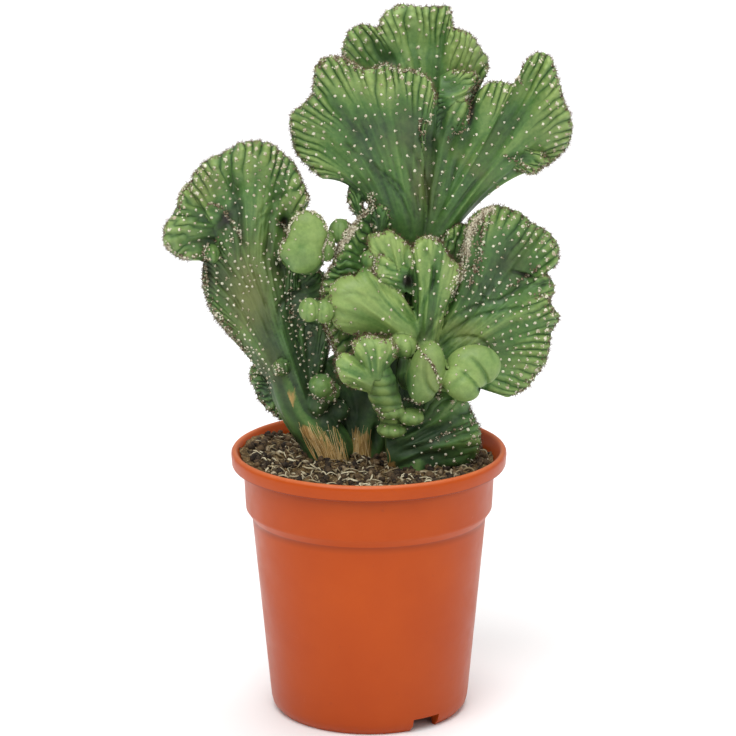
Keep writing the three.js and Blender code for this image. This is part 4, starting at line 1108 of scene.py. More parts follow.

# Long creases between the folds of the skin, pressed in and darkened with painted shade, in the photograph's
# view:
# points, half width and strength
SHADED_CREASES = {
    "upper": [
        ([(26, 353), (32, 341), (36, 321), (34, 301)], 1.4, 0.65),
        ([(0, 343), (16, 329), (24, 313), (26, 301)], 1.3, 0.6),
        ([(-14, 357), (6, 341), (20, 329), (29, 312)], 1.3, 0.6),
        ([(81, 349), (65, 333), (53, 317), (44, 303)], 1.3, 0.6),
        ([(53, 347), (49, 329), (42, 311)], 1.3, 0.6),
        ([(70, 362), (58, 343), (48, 322)], 1.2, 0.5),
        ([(20, 352), (27, 334), (31, 316)], 1.2, 0.5),
    ],
    "left": [
        ([(-67, 311), (-60, 321), (-48, 328), (-41, 331)], 1.5, 0.55),
        ([(-70, 294), (-68, 304), (-65, 311), (-55, 316)], 1.5, 0.6),
        ([(-100, 317), (-90, 314), (-82, 304), (-74, 294)], 1.4, 0.5),
        ([(-92, 290), (-84, 278), (-80, 260), (-79, 242)], 1.6, 0.45),
        ([(-54, 242), (-55, 254), (-48, 263), (-41, 266)], 1.5, 0.7),
        ([(-62, 296), (-61, 272), (-63, 250), (-58, 226)], 1.6, 0.4),
    ],
    "right": [
        ([(38, 236), (45, 244), (59, 253), (71, 258), (81, 260), (95, 268), (109, 269)], 1.4, 0.6),
        ([(41, 233), (49, 239), (65, 249), (81, 253), (97, 255), (113, 257)], 1.3, 0.55),
        ([(43, 230), (54, 236), (66, 236), (73, 230), (78, 220)], 1.4, 0.5),
        ([(67, 282), (68, 268), (73, 258), (81, 261)], 1.2, 0.5),
        ([(35, 291), (40, 274), (33, 255), (32, 236)], 1.3, 0.6),
        ([(56, 271), (49, 258), (40, 246), (34, 235)], 1.4, 0.6),
        ([(2, 272), (18, 261), (29, 242), (32, 231)], 1.4, 0.5),
        ([(-20, 262), (-8, 264), (8, 259)], 1.2, 0.3),
        ([(56, 215), (60, 212), (65, 207), (67, 204), (69, 201)], 1.2, 0.75),
        ([(63, 223), (66, 220), (70, 215), (72.5, 209), (72, 204), (70, 200)], 1.3, 0.75),
        ([(34, 221), (34.6, 212), (36, 206), (40, 201), (45, 199)], 1.3, 0.7),
    ],
}

# Where the skin has turned to a yellowish green, given likewise
YELLOWED = {
    "upper": [(34, 330, 7, 18, 0, 0.7), (60, 345, 20, 4, -40, 0.5)],
    "left": [(-73, 266, 14, 34, -6, 1.2), (-100, 330, 6, 12, -30, 0.8), (-62, 222, 8, 16, 30, 0.5)],
    "right": [
        (58, 240, 16, 6, -25, 0.8), (36, 215, 8, 16, 14, 0.7), (0, 205, 10, 8, 0, 0.6),
        (52, 280, 5, 12, 0, 0.4),
    ],
}

# Where the skin is lighter, given likewise
LIGHTER = {
    "upper": [
        (58, 414, 13, 13, 0, 1.2), (37, 390, 9, 9, 0, 0.8), (92, 388, 8, 8, 0, 0.8),
        (100, 398, 12, 16, -30, 0.35), (30, 432, 22, 9, 0, 0.4), (8, 394, 36, 9, 0, 0.45),
        (60, 384, 12, 14, 0, 0.4), (-4, 418, 10, 8, 0, 0.3),
    ],
    "left": [(-56, 314, 9, 18, -20, 1.1), (-119, 308, 8, 10, 0, 0.5), (-88, 326, 8, 6, 0, 0.3)],
    "right": [
        (53, 241, 18, 12, 25, 1.7), (90, 228, 26, 20, 0, 0.4), (16, 235, 14, 11, 0, 0.6),
        (16, 297, 15, 10, 0, 0.5), (45, 280, 5, 12, 0, 0.4), (60, 213, 18, 14, 0, 0.5),
        (96, 216, 16, 14, 0, 0.4),
    ],
}

# Lines of wool and old spines, in the photograph's view: points, half width, share of pale wool and density
WOOL_LINES = {
    "upper": [
        ([(3, 326), (0, 317), (-5, 311), (-11, 305), (-16, 296), (-21, 286), (-26, 276)], 2.6, 0.8, 7.0),
        ([(-8, 305), (-13, 299), (-18, 292)], 1.7, 1.0, 16.0),
        ([(-28, 273), (-27, 262), (-27, 248), (-24, 240), (-22, 235), (-20, 222), (-19, 216)],
         1.6, 0.35, 2.6),
        ([(69, 396), (65, 391), (62, 384), (61, 376), (59, 369), (55, 363)], 1.5, 0.15, 2.2),
        ([(88, 403), (88, 398), (92, 394)], 2.0, 0.5, 2.0),
        ([(32, 373), (31, 367), (33, 362)], 1.2, 0.3, 1.6),
        ([(-33, 402), (-27, 408), (-19, 409), (-10, 405), (-3, 401)], 2.4, 0.45, 3.2),
        ([(1, 402), (9, 405), (18, 401), (27, 401), (34, 397)], 1.6, 0.8, 1.6),
        ([(82, 350), (90, 346), (99, 341), (106, 343)], 1.2, 0.3, 1.6),
    ],
    "left": [
        ([(-53, 285), (-54, 292), (-50, 299), (-47, 307), (-42, 314), (-35, 315), (-28, 311)],
         1.1, 0.95, 2.4),
        ([(-28, 311), (-25, 303), (-26, 296), (-28, 288), (-26, 278)], 1.1, 0.9, 2.2),
        ([(-57, 311), (-53, 308), (-50, 303), (-51, 296)], 1.8, 0.2, 2.4),
        ([(-99, 294), (-99, 280), (-99, 270), (-96, 258), (-88, 245), (-80, 234), (-73, 225)],
         2.0, 0.35, 2.6),
        ([(-123, 297), (-118, 290), (-109, 287), (-102, 289), (-97, 295)], 1.3, 0.7, 2.0),
        ([(-104, 340), (-109, 333), (-113, 325), (-112, 321)], 1.8, 0.6, 1.8),
        ([(-97, 321), (-89, 318), (-83, 310), (-77, 300)], 1.0, 0.3, 2.0),
        ([(-42, 344), (-38, 333), (-37, 322)], 1.6, 0.5, 1.8),
        ([(-26, 298), (-21, 294), (-20, 288), (-24, 284)], 1.4, 0.85, 2.6),
        ([(-52, 215), (-56, 218), (-56, 213)], 1.4, 0.7, 2.0),
        ([(-34, 200), (-30, 196), (-27, 199)], 1.8, 0.5, 3.0),
        ([(-24, 218), (-22, 206), (-21, 197)], 1.4, 0.3, 2.4),
        ([(-29, 252), (-25, 242), (-24, 230)], 0.9, 0.95, 2.2),
        ([(-48, 266), (-47, 256), (-50, 246)], 3.4, 0.5, 1.4),
    ],
    "right": [
        ([(51, 262), (55, 272), (58, 283), (60, 295), (63, 304), (68, 312), (75, 318)], 3.0, 0.85, 6.5),
        ([(60, 288), (61, 300), (64, 308), (70, 314), (76, 317)], 1.0, 1.0, 14.0),
        ([(73, 312), (69, 302), (67, 290), (65, 279), (61, 268)], 3.0, 0.35, 2.6),
        ([(34, 298), (39, 299), (44, 297)], 1.5, 0.8, 2.6),
        ([(29, 231), (34, 226), (38, 220), (42, 212), (44, 204), (42, 199)], 0.9, 0.45, 2.6),
        ([(-11, 238), (-4, 240), (6, 239), (15, 239)], 0.8, 0.25, 1.6),
        ([(85, 268), (94, 273), (104, 281)], 1.4, 0.2, 1.8),
        ([(102, 262), (108, 262), (113, 261)], 1.4, 0.3, 2.0),
        ([(21, 265), (24, 262), (28, 266)], 1.4, 0.7, 1.8),
        ([(1, 288), (4, 282), (3, 276)], 1.8, 0.85, 2.2),
        ([(3, 194), (7, 190), (6, 184)], 1.6, 0.6, 2.0),
        ([(20, 196), (26, 197), (33, 194)], 1.5, 0.6, 1.6),
        ([(37, 170), (52, 178), (64, 182)], 1.2, 0.5, 1.0),
    ],
}



def cork_of(points, crest):
    """Where old corky bark has grown: by the soil and on a scar of the left stem."""
    x, y, z = points.T
    if crest == "left":
        aside = x + 43 - 0.85 * (182 - z)
        cork = np.exp(-((aside / np.where(aside > 0, 10, 5)) ** 2)) * smoothstep(-z, -186, -176) * (y < 14)
        scar = np.exp(-(((x + 50) / 4.5) ** 2 + ((z - 196) / 9) ** 2)) * (y < 0)
        return np.maximum(cork, scar)
    if crest == "upper":
        return smoothstep(-z, -182, -168) * np.exp(-(((x + 6) / 7) ** 2)) * (y < 26)
    return 0.8 * smoothstep(-z, -172, -160) * np.exp(-(((x - 13) / 4) ** 2))


def creases_at(points, creases):
    """How far a place lies in any of the creases, which fade towards both ends."""
    x, z = as_seen(points)
    deepest = np.zeros(len(points))
    for line, half_width, strength in creases:
        curve = catmull_rom(line, 16)
        reach = 3 * half_width
        low, high = curve.min(0) - reach, curve.max(0) + reach
        near = np.flatnonzero((x > low[0]) & (x < high[0]) & (z > low[1]) & (z < high[1]))
        fade = np.sin(math.pi * np.linspace(0.06, 0.94, len(curve))) ** 0.5
        for (at_x, at_z), share in zip(curve, fade):
            distance = ((x[near] - at_x) ** 2 + (z[near] - at_z) ** 2) / half_width**2
            deepest[near] = np.maximum(deepest[near], strength * share * np.exp(-distance))
    return deepest


def patches_at(points, patches):
    """How far a place lies in any of the oval patches, as seen from the photograph's standpoint."""
    x, z = as_seen(points)
    deepest = np.zeros(len(points))
    for at_x, at_z, half_width, half_height, tilt, strength in patches:
        c, s = math.cos(math.radians(tilt)), math.sin(math.radians(tilt))
        across = (c * (x - at_x) + s * (z - at_z)) / half_width
        up = (-s * (x - at_x) + c * (z - at_z)) / half_height
        deepest = np.maximum(deepest, strength * np.exp(-(across**2) - up**2))
    return deepest


# The stems: skin, areoles and fringe

# Each stem: its trunks, lobes and knobs, the width of two ribs at the crest, how far its areoles stand
# apart along a rib, and the voxels of its front and back skin
CRESTS = {
    "upper": (UPPER_TRUNKS, UPPER_FANS, UPPER_KNOBS, 11.0, 7.4, 0.84, 1.6),
    "left": (LEFT_TRUNKS, LEFT_FANS, LEFT_KNOBS, 9.4, 4.6, 0.72, 1.4),
    "right": (RIGHT_TRUNKS, RIGHT_FANS, RIGHT_KNOBS, 11.4, 5.6, 0.78, 1.5),
}


def grown_skin(points, triangles, voxel):
    """Vertices and faces of one closed skin round closed bodies that run into each other."""
    source = linked("source", mesh_from("source", points, triangles))
    remesh = source.modifiers.new("skin", "REMESH")
    remesh.mode = "VOXEL"
    remesh.voxel_size = voxel * MM
    smooth = source.modifiers.new("relax", "SMOOTH")
    smooth.factor = 0.5
    smooth.iterations = 1
    mesh = changed_mesh(source)
    places = np.empty(len(mesh.vertices) * 3, np.float32)
    mesh.vertices.foreach_get("co", places)
    corners = np.empty(len(mesh.loops), np.int32)
    mesh.loops.foreach_get("vertex_index", corners)
    for spent in (source.data, mesh):
        bpy.data.meshes.remove(spent)
    return places.reshape(-1, 3).astype(float) / MM, corners.reshape(-1, 4)


class Skin:
    """The grown skin of one stem, its front fine and its back coarser, and a search tree over it."""

    def __init__(self, name, material):
        trunks, fans, self.knobs, pitch, self.step, fine, coarse = CRESTS[name]
        self.name = name
        self.material = material
        self.rng = np.random.default_rng(7 + len(name))
        self.lobes = [Lobe(fan, pitch, self.step, 100 * len(name) + i) for i, fan in enumerate(fans)]
        grids = [trunk_grid(trunk) for trunk in trunks] + [lobe.grid() for lobe in self.lobes]
        grids += [knob_grid(knob) for knob in self.knobs]
        self.points, quads = joined(grids)
        self.triangles = halves_of(quads)
        self.marks = {key: np.concatenate([grid[2][key] for grid in grids]) for key in grids[0][2]}
        sources = BVHTree.FromPolygons(self.points.tolist(), self.triangles.tolist())
        front = self.side("front", sources, fine, -1)
        self.side("back", sources, coarse, 1)
        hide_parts(name + "_crest")

    def marks_at(self, sources, points):
        """The marks of the sources' nearest places, taken between the corners of the triangle there."""
        found = [sources.find_nearest(point) for point in points.tolist()]
        triangle = self.triangles[[hit[2] for hit in found]]
        place = np.array([hit[0][:] for hit in found])
        a, b, c = (self.points[triangle[:, k]] for k in range(3))
        whole = np.cross(b - a, c - a)
        area = (whole * whole).sum(1) + 1e-12
        share_b = (np.cross(place - a, c - a) * whole).sum(1) / area
        share_c = (np.cross(b - a, place - a) * whole).sum(1) / area
        shares = np.clip(np.stack([1 - share_b - share_c, share_b, share_c], 1), 0, 1)
        shares /= shares.sum(1, keepdims=True)
        return {key: (values[triangle] * shares).sum(1) for key, values in self.marks.items()}

    def side(self, side, sources, voxel, sign):
        """The front (sign -1) or back (1) of the skin, with its marks, and its hollows pressed in and marked
        for painted shade.
        """
        points, faces = grown_skin(self.points, self.triangles, voxel)
        marks = self.marks_at(sources, points)
        front = smoothstep(-marks["face"], -0.5, 0.5)
        crease_dip_and_shade = creases_at(points, SHADED_CREASES[self.name])
        # Hollows and creases: pressed into the skin, and on the front darkened with painted shade
        marks["hollow_and_shade"] = (patches_at(points, SHADED_HOLLOWS[self.name]) + crease_dip_and_shade) * front
        marks["olive"] = patches_at(points, YELLOWED[self.name])
        marks["pale"] = patches_at(points, LIGHTER[self.name])
        points[:, 1] += HOLLOW_DEPTH * np.minimum(marks["hollow_and_shade"], DEEPEST_HOLLOW)
        if sign < 0:
            self.tree = BVHTree.FromPolygons((points * MM).tolist(), faces.tolist())
        marks["cork"] = cork_of(points, self.name)
        facing = marks.pop("face")[faces].mean(1) * sign
        used, faces = np.unique(faces[facing > -SEAM], return_inverse=True)
        mesh = mesh_from(f"{self.name}_{side}", points[used], faces.reshape(-1, 4))
        for key, values in marks.items():
            set_mark(mesh, key, values[used])
        return paint(linked(f"{self.name}_{side}", mesh), self.material)

    def settle(self, points, directions, reach, facing):
        """Those points that lie on the open skin, moved onto it, with the skin's normals there."""
        kept, normals, chosen = [], [], []
        for i, (point, direction) in enumerate(zip(points, directions)):
            place, normal, _, _ = self.tree.find_nearest((point * MM).tolist(), reach * MM)
            if place is None or normal.dot(Vector(direction.tolist())) < facing:
                continue
            kept.append(np.array(place) / MM)
            normals.append(np.array(normal))
            chosen.append(i)
        return np.array(kept).reshape(-1, 3), np.array(normals).reshape(-1, 3), np.array(chosen, int)

    def behind(self, x, z, farthest):
        """Places of the photograph's view moved back to where they meet the skin, with the normals there."""
        eye = Vector(STANDPOINT * MM)
        for target in seen(x, z, np.zeros(len(x))):
            place, normal, _, _ = self.tree.ray_cast(eye, (Vector(target * MM) - eye).normalized())
            if place is not None and abs(place.y) < farthest * MM:
                yield np.array(place) / MM, np.array(normal)


def areole_places(lobe, rng):
    """Places in u, v along the crowns of a lobe's ribs, staggered from rib to rib, and the ribs' width."""
    places = []
    aside = 0.004
    for m in range(2 * lobe.pairs):
        narrow_u = np.interp(m / 2 + 0.25, lobe.x_table, lobe.u_table)
        wide_u = np.interp((m // 2) + 0.5, lobe.x_table, lobe.u_table)
        length = float(lobe.bend(np.array(narrow_u))[4])
        v = np.arange(0.5 + 0.5 * (m % 2), length / lobe.step) * lobe.step / length
        v = v[(v > 0.12) & (v < 0.97)]
        for value in v + rng.normal(0, 0.06, len(v)) * lobe.step / length:
            astray = lobe.wander(narrow_u, np.array(value))
            narrow_u = np.interp(m / 2 + 0.25 - astray, lobe.x_table, lobe.u_table)
            right, left = (lobe.flat(np.array(narrow_u + way * aside), np.array(value)) for way in (1, -1))
            pitch = np.linalg.norm(right - left) / (2 * aside) / lobe.pairs
            if pitch > 6.5:
                places.append((narrow_u, value, pitch / 2))
            elif m % 2 == 0 and pitch > 3.5:
                places.append((wide_u, value, pitch))
    return np.array(places).reshape(-1, 3)


def areoles_of(skin):
    """Points, normals and sizes of the areoles on every lobe and knob of a stem."""
    points, directions, sizes = [], [], []
    for lobe in skin.lobes:
        u, v, pitch = areole_places(lobe, skin.rng).T
        for face in (-1, 1):
            points.append(lobe.at(u, v, face)[0])
            directions.append(lobe.normal(u, v, face))
            room = 0.3 * smoothstep(pitch, 2, 6) * (0.6 + 0.4 * v)
            sizes.append(0.75 + room + 0.2 * smoothstep(v, 0.7, 0.95))
    for knob in skin.knobs:
        width, height, depth = knob["size"]
        count = max(2, int(math.pi * height / 7))
        for k in range(0, KNOB_RIBS, knob.get("sparse", 1)):
            theta = (k + 0.5) * TURN / KNOB_RIBS
            phi = (np.arange(count) + 0.5 + 0.3 * (k % 2)) * 2.6 / count + 0.15
            place = egg(knob, theta, phi, 1)
            tilt = knob.get("tilt", 0)
            points.append(seen(*knob["at"]) + turned(place, tilt))
            directions.append(unit(turned(place / np.array([width, depth, height]) ** 2, tilt)))
            sizes.append(np.full(count, 0.7))
    kept, normals, chosen = skin.settle(np.concatenate(points), np.concatenate(directions), 1.7, 0.55)
    return thinned(kept, normals, np.concatenate(sizes)[chosen], AREOLE_GAP * skin.step)


def thinned(points, normals, sizes, gap):
    """Leaves out points that lie closer than the gap to one before them."""
    taken = []
    for i, point in enumerate(points):
        if not taken or np.min(np.sum((points[taken] - point) ** 2, 1)) > gap * gap:
            taken.append(i)
    return points[taken], normals[taken], sizes[taken]


def fringe_of(skin):
    """Points, normals and outward directions along the crests, where wool and young spines crowd."""
    rng = skin.rng
    points, directions = [], []
    for lobe in skin.lobes:
        count = int(lobe.crest / FRINGE_GAP * lobe.spec.get("fringe", 1.0))
        if not count:
            continue
        u = (np.arange(count) + rng.uniform(0.1, 0.9, count)) / count
        first, last = lobe.spec.get("fringe_span", (0.015, 0.985))
        u = u[(u > first) & (u < last)]
        _, _, _, out, length = lobe.bend(u)
        off = np.abs(rng.normal(0, 1.7, len(u))) / length
        face = np.where(rng.random(len(u)) < 0.62, -1, 1)
        points += [lobe.at(np.array([a]), np.array([1 - b]), f)[0][0] for a, b, f in zip(u, off, face)]
        directions.append(np.stack([out[:, 0], np.zeros(len(u)), out[:, 1]], -1))
    directions = np.concatenate(directions)
    kept, normals, chosen = skin.settle(np.array(points), directions, 1.8, 0.05)
    return kept, normals, directions[chosen]


def wool_line_places(skin):
    """Points, normals and paleness of the wool along the lines that the photograph shows."""
    rng = skin.rng
    places, pale = [], []
    for line, half_width, paleness, density in WOOL_LINES[skin.name]:
        curve = catmull_rom(line, 12)
        along = length_along(curve)
        at = rng.uniform(0, along[-1], int(along[-1] * density))
        x, z = (np.interp(at, along, axis) + rng.normal(0, half_width / 2, len(at)) for axis in curve.T)
        met = list(skin.behind(x, z, FARTHEST_WOOL))
        places += met
        pale += [paleness] * len(met)
    points, normals = zip(*places)
    return np.array(points), np.array(normals), np.array(pale)


def bristles(places, normals, each, tilt, lengths, rng):
    """So many spines from each place, fanned out about its normal: their feet, directions and lengths."""
    along = np.repeat(normals, each, 0)
    side = rng.normal(size=along.shape)
    side = unit(side - (side * along).sum(1, keepdims=True) * along)
    angle = rng.uniform(0.25, 1.0, len(along))[:, None] * math.radians(tilt)
    directions = along * np.cos(angle) + side * np.sin(angle)
    return np.repeat(places, each, 0), directions, rng.uniform(*lengths, len(along))


def speckled(pale, light, dark, rng):
    """Tints out of one range for the pale ones and out of another for the rest."""
    return np.where(pale, rng.uniform(*light, len(pale)), rng.uniform(*dark, len(pale)))


def dress(skin, wool, spine):
    """Areoles with wool and spines over the skin, the fringe on its crests, and the lines of wool."""
    rng = skin.rng
    places, normals, sizes = areoles_of(skin)
    radii = 0.82 * sizes * rng.uniform(0.7, 1.3, len(places))
    tints = rng.uniform(0.6, 1.0, len(places))
    wool_parts = [tufts(BALL, places + normals * 0.1, normals, radii, tints, rng)]
    each = np.where(sizes > 1.15, 8, 2)
    beside = np.repeat(places + normals * 0.2, each, 0)
    beside += rng.normal(0, 0.6, beside.shape) * np.repeat(sizes, each)[:, None] ** 2
    radii = rng.uniform(0.25, 0.55, len(beside)) * np.repeat(sizes, each)
    tints = rng.uniform(0.35, 1.0, len(beside))
    wool_parts.append(tufts(GRAIN, beside, np.repeat(normals, each, 0), radii, tints, rng))
    feet, directions, lengths = bristles(places, normals, AREOLE_SPINES, 75, (1.4, 3.4), rng)
    lengths = lengths * np.repeat(sizes, AREOLE_SPINES)
    spine_parts = [spikes(feet, directions, lengths, SPINE_WIDTH, rng.uniform(0.0, 1.0, len(feet)))]

    edge, skin_normals, out = fringe_of(skin)
    leaning = unit(skin_normals + 0.7 * out)
    radii = rng.uniform(0.35, 0.85, len(edge))
    tints = speckled(rng.random(len(edge)) < PALE_FRINGE, (0.55, 1.0), (0.1, 0.4), rng)
    wool_parts.append(tufts(GRAIN, edge + leaning * 0.2, leaning, radii, tints, rng))
    feet, directions, lengths = bristles(edge, leaning, FRINGE_SPINES, 60, (1.3, 4.2), rng)
    spine_parts.append(spikes(feet, directions, lengths, SPINE_WIDTH, rng.uniform(0.0, 0.55, len(feet))))

    line, line_normals, paleness = wool_line_places(skin)
    pale = rng.random(len(line)) < paleness
    tints = speckled(pale, (0.7, 1.0), (0.05, 0.4), rng)
    radii = rng.uniform(0.3, 0.85, len(line))
    lift = rng.uniform(0.1, 1.0, len(line))[:, None]
    wool_parts.append(tufts(GRAIN, line + line_normals * lift, line_normals, radii, tints, rng))
    feet, directions, lengths = bristles(line, line_normals, WOOL_LINE_SPINES, 70, (1.4, 3.4), rng)
    tints = speckled(np.repeat(pale, WOOL_LINE_SPINES), (0.5, 1.0), (0.0, 0.4), rng)
    spine_parts.append(spikes(feet, directions, lengths, WOOL_SPINE_WIDTH, tints))
    tinted_piece(skin.name + "_wool", wool_parts, wool)
    tinted_piece(skin.name + "_spines", spine_parts, spine)


flesh = flesh_material()
wool = tinted_material(
    "wool", (84, 60, 44), (186, 172, 142), (246, 245, 222), 0.85, 1500, 0.12, Specular_IOR_Level=0.2
)
spine = tinted_material(
    "spines", (58, 34, 26), (128, 98, 72), (228, 214, 184), 0.5, 1200, 0.04, Specular_IOR_Level=0.35
)
skins = {}
for name in CRESTS:
    skins[name] = Skin(name, flesh)
    dress(skins[name], wool, spine)


# The pot

def pot_profile():
    """Outline of the pot's wall in radius and height, from under its middle round to its floor."""
    corners = [
        (FLOOR_MIDDLE, FLOOR_UNDERSIDE, [(0, 0)]),
        (FOOT_RADIUS - FOOT_WIDTH, FLOOR_UNDERSIDE, [(-1.6, 0), (-0.9, -0.6)]),
        (FOOT_RADIUS - FOOT_WIDTH, 0, [(0, 0.4), (0.4, 0)]),
        (FOOT_RADIUS, 0, [(-0.5, 0), (0.1, 0.5)]),
        (WALL_FOOT_RADIUS, 0, [(-1.3, 4), (-0.4, 7.5)]),
        (WALL_FOOT_RADIUS, WALL_FOOT, [(0, 0), (0.3, 3)]),
        (STEP_RADIUS, STEP_FOOT, [(-0.15, -2), (0, -0.4), (0.5, 0.5)]),
        (COLLAR_FOOT_RADIUS, COLLAR_FOOT, [(-0.6, -0.5), (-0.1, 0.3), (0.05, 1.5)]),
        (COLLAR_TOP_RADIUS, LIP_FOOT, [(0, -2.6), (0.3, -1.6)]),
        (RIM_RADIUS, LIP_FOOT, [(-2.0, -0.6), (-0.9, -0.1), (-0.5, 0.7)]),
        (RIM_RADIUS, RIM_TOP, [(-0.1, -3.4), (-0.2, -1.9), (-0.9, -0.7), (-2.0, -0.1), (-2.9, -0.1)]),
        (RIM_RADIUS, RIM_TOP, [(-3.8, -0.8), (-5.2, -3)]),
        (COLLAR_TOP_RADIUS - WALL, LIP_FOOT, [(0.5, -1), (0, -3)]),
        (COLLAR_FOOT_RADIUS - WALL, COLLAR_FOOT, [(0, 0)]),
        (STEP_RADIUS - WALL, STEP_FOOT, [(0, 0)]),
        (WALL_FOOT_RADIUS - WALL, WALL_FOOT, [(0, 0)]),
        (FOOT_RADIUS - WALL, FLOOR_TOP, [(0, 0)]),
        (FLOOR_MIDDLE, FLOOR_TOP, [(0, 0)]),
    ]
    wall = [(radius + out, height + up) for radius, height, bends in corners for out, up in bends]
    return [(0, FLOOR_UNDERSIDE), *wall, (0, FLOOR_TOP)]


def block(width, depth, height, middle, turn):
    """A box whose middle is given, turned about Z in degrees."""
    c, s = math.cos(math.radians(turn)), math.sin(math.radians(turn))
    corners = np.array([(x, y, z) for x in (-1, 1) for y in (-1, 1) for z in (-1, 1)]) * 0.5
    x, y, z = (corners * (width, depth, height) + middle).T
    faces = np.array([(0, 1, 3, 2), (4, 6, 7, 5), (0, 4, 5, 1), (2, 3, 7, 6), (0, 2, 6, 4), (1, 5, 7, 3)])
    return np.stack([c * x - s * y, s * x + c * y, z], -1), faces


def cut_from(piece, cutters):
    """Takes each cutter (points, faces) out of the piece's mesh."""
    for points, faces in cutters:
        cutter = linked("cutter", mesh_from("cutter", points, faces))
        cut = piece.modifiers.new("cut", "BOOLEAN")
        cut.operation = "DIFFERENCE"
        cut.solver = "EXACT"
        cut.object = cutter
        mesh = changed_mesh(piece)
        piece.modifiers.clear()
        old, piece.data = piece.data, mesh
        for spent in (old, cutter.data):
            bpy.data.meshes.remove(spent)


def make_pot():
    pot = linked("pot_looks", mesh_from("pot_looks", *lathe(pot_profile(), POT_SIDES)))
    cutters = [
        block(20, NOTCH_WIDTH, 2 * NOTCH_HEIGHT, (FOOT_RADIUS + 4, 0, 0), angle) for angle in NOTCH_ANGLES
    ]
    for i in range(DRAIN_HOLES):
        angle = TURN * (i + 0.5) / DRAIN_HOLES
        hole, faces = lathe([(0, -2), (DRAIN_RADIUS, -2), (DRAIN_RADIUS, 14), (0, 14)], 32)
        cutters.append((hole + (DRAIN_CIRCLE * math.cos(angle), DRAIN_CIRCLE * math.sin(angle), 0), faces))
    cut_from(pot, cutters)
    paint(pot, plastic_material())
    pot.data.set_sharp_from_angle(angle=math.radians(38))
    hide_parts("pot")


make_pot()


# The soil

def lattice_noise(x, y, cell, seed):
    """Smooth random height between -1 and 1 over a square lattice of the given cell size."""
    size = 256
    table = np.random.default_rng(seed).uniform(-1, 1, (size, size))
    u, v = x / cell + size / 2, y / cell + size / 2
    i, j = np.floor(u).astype(int), np.floor(v).astype(int)
    s, t = smoothstep(u - i, 0, 1), smoothstep(v - j, 0, 1)
    a, b = table[i % size, j % size], table[(i + 1) % size, j % size]
    c, d = table[i % size, (j + 1) % size], table[(i + 1) % size, (j + 1) % size]
    return (a * (1 - s) + b * s) * (1 - t) + (c * (1 - s) + d * s) * t


def soil_height(x, y):
    lumps = np.sin(x * 0.23 + 1) * np.cos(y * 0.21) + 0.6 * np.sin(x * 0.47 - y * 0.39 + 2)
    edge = smoothstep(np.hypot(x, y), 55, 76)
    rise = smoothstep(-x, 30, 76) + 0.35 * smoothstep(x, 40, 76) + 0.2 * smoothstep(-y, 40, 76)
    level = SOIL_LEVEL + SOIL_LUMP * lumps * (1 - 0.7 * edge) + SOIL_RISE * rise
    grains = ((4.2, 1, 1), (1.9, 2, 0.6), (0.9, 3, 0.35))
    return level + 0.9 * sum(share * lattice_noise(x, y, cell, seed) for cell, seed, share in grains)


def make_soil():
    inner = COLLAR_TOP_RADIUS - WALL - CLEARANCE
    angle = circle(SOIL_SIDES)
    edge = soil_height((inner + 1) * np.cos(angle), (inner + 1) * np.sin(angle))
    heights = (LIP_FOOT - 1, RIM_TOP - 3, RIM_TOP - 0.8)
    widest = np.interp(edge, heights, (inner, RIM_RADIUS - 5.6, RIM_RADIUS - 4.2)) - 0.3
    radius = widest * (np.arange(SOIL_RINGS, 0, -1)[:, None] / SOIL_RINGS)
    x, y = radius * np.cos(angle), radius * np.sin(angle)
    top = np.stack([x, y, soil_height(x, y)], -1).reshape(-1, 3)
    bottom = FLOOR_TOP + CLEARANCE
    outline = [(FLOOR_MIDDLE, bottom), (FOOT_RADIUS - WALL - CLEARANCE - 0.6, bottom)]
    for wall_radius, height in (
        (WALL_FOOT_RADIUS, WALL_FOOT), (STEP_RADIUS, STEP_FOOT), (COLLAR_FOOT_RADIUS, COLLAR_FOOT)
    ):
        outline.append((wall_radius - WALL - CLEARANCE, height + CLEARANCE))
    outline.append((inner - 0.3, LIP_FOOT - 5))
    walls = [ring_at(wall_radius, height, angle) for wall_radius, height in outline]
    middles = [(0, 0, bottom), (0, 0, float(soil_height(0.0, 0.0)))]
    points = np.concatenate([*walls, top, middles])
    mesh = mesh_from("soil_bed", points, closed_faces(len(outline) + SOIL_RINGS, SOIL_SIDES))
    soil = paint(linked("soil_bed", mesh), soil_material())
    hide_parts("potting_soil")


def scatter(count, rng):
    """Random places over the soil, a little away from the wall."""
    radius = (COLLAR_TOP_RADIUS - WALL - 0.6) * np.sqrt(rng.random(count))
    angle = rng.uniform(0, TURN, count)
    return radius * np.cos(angle), radius * np.sin(angle)


def make_crumbs(rng):
    """Crumbs and chips of peat, and a few white bits."""
    x, y = scatter(CRUMBS, rng)
    size = rng.uniform(0.5, 2.1, CRUMBS) ** 1.4
    centres = np.stack([x, y, soil_height(x, y) + 0.35 * size], -1)
    tilt = unit(rng.normal(size=centres.shape))
    crumbs = tufts(BALL, centres, tilt, size, rng.beta(0.8, 2.9, CRUMBS), rng)
    x, y = scatter(WHITE_BITS, rng)
    size = rng.uniform(0.5, 1.0, WHITE_BITS)
    centres = np.stack([x, y, soil_height(x, y) + 0.5 * size], -1)
    white = tufts(BALL, centres, np.tile((0, 0, 1.0), (WHITE_BITS, 1)), size, np.ones(WHITE_BITS), rng)
    bits = tinted_material("soil_bits", (32, 23, 16), (112, 89, 60), (222, 210, 180), 0.9, 700, 0.3)
    tinted_piece("soil_crumbs", [crumbs, white], bits)


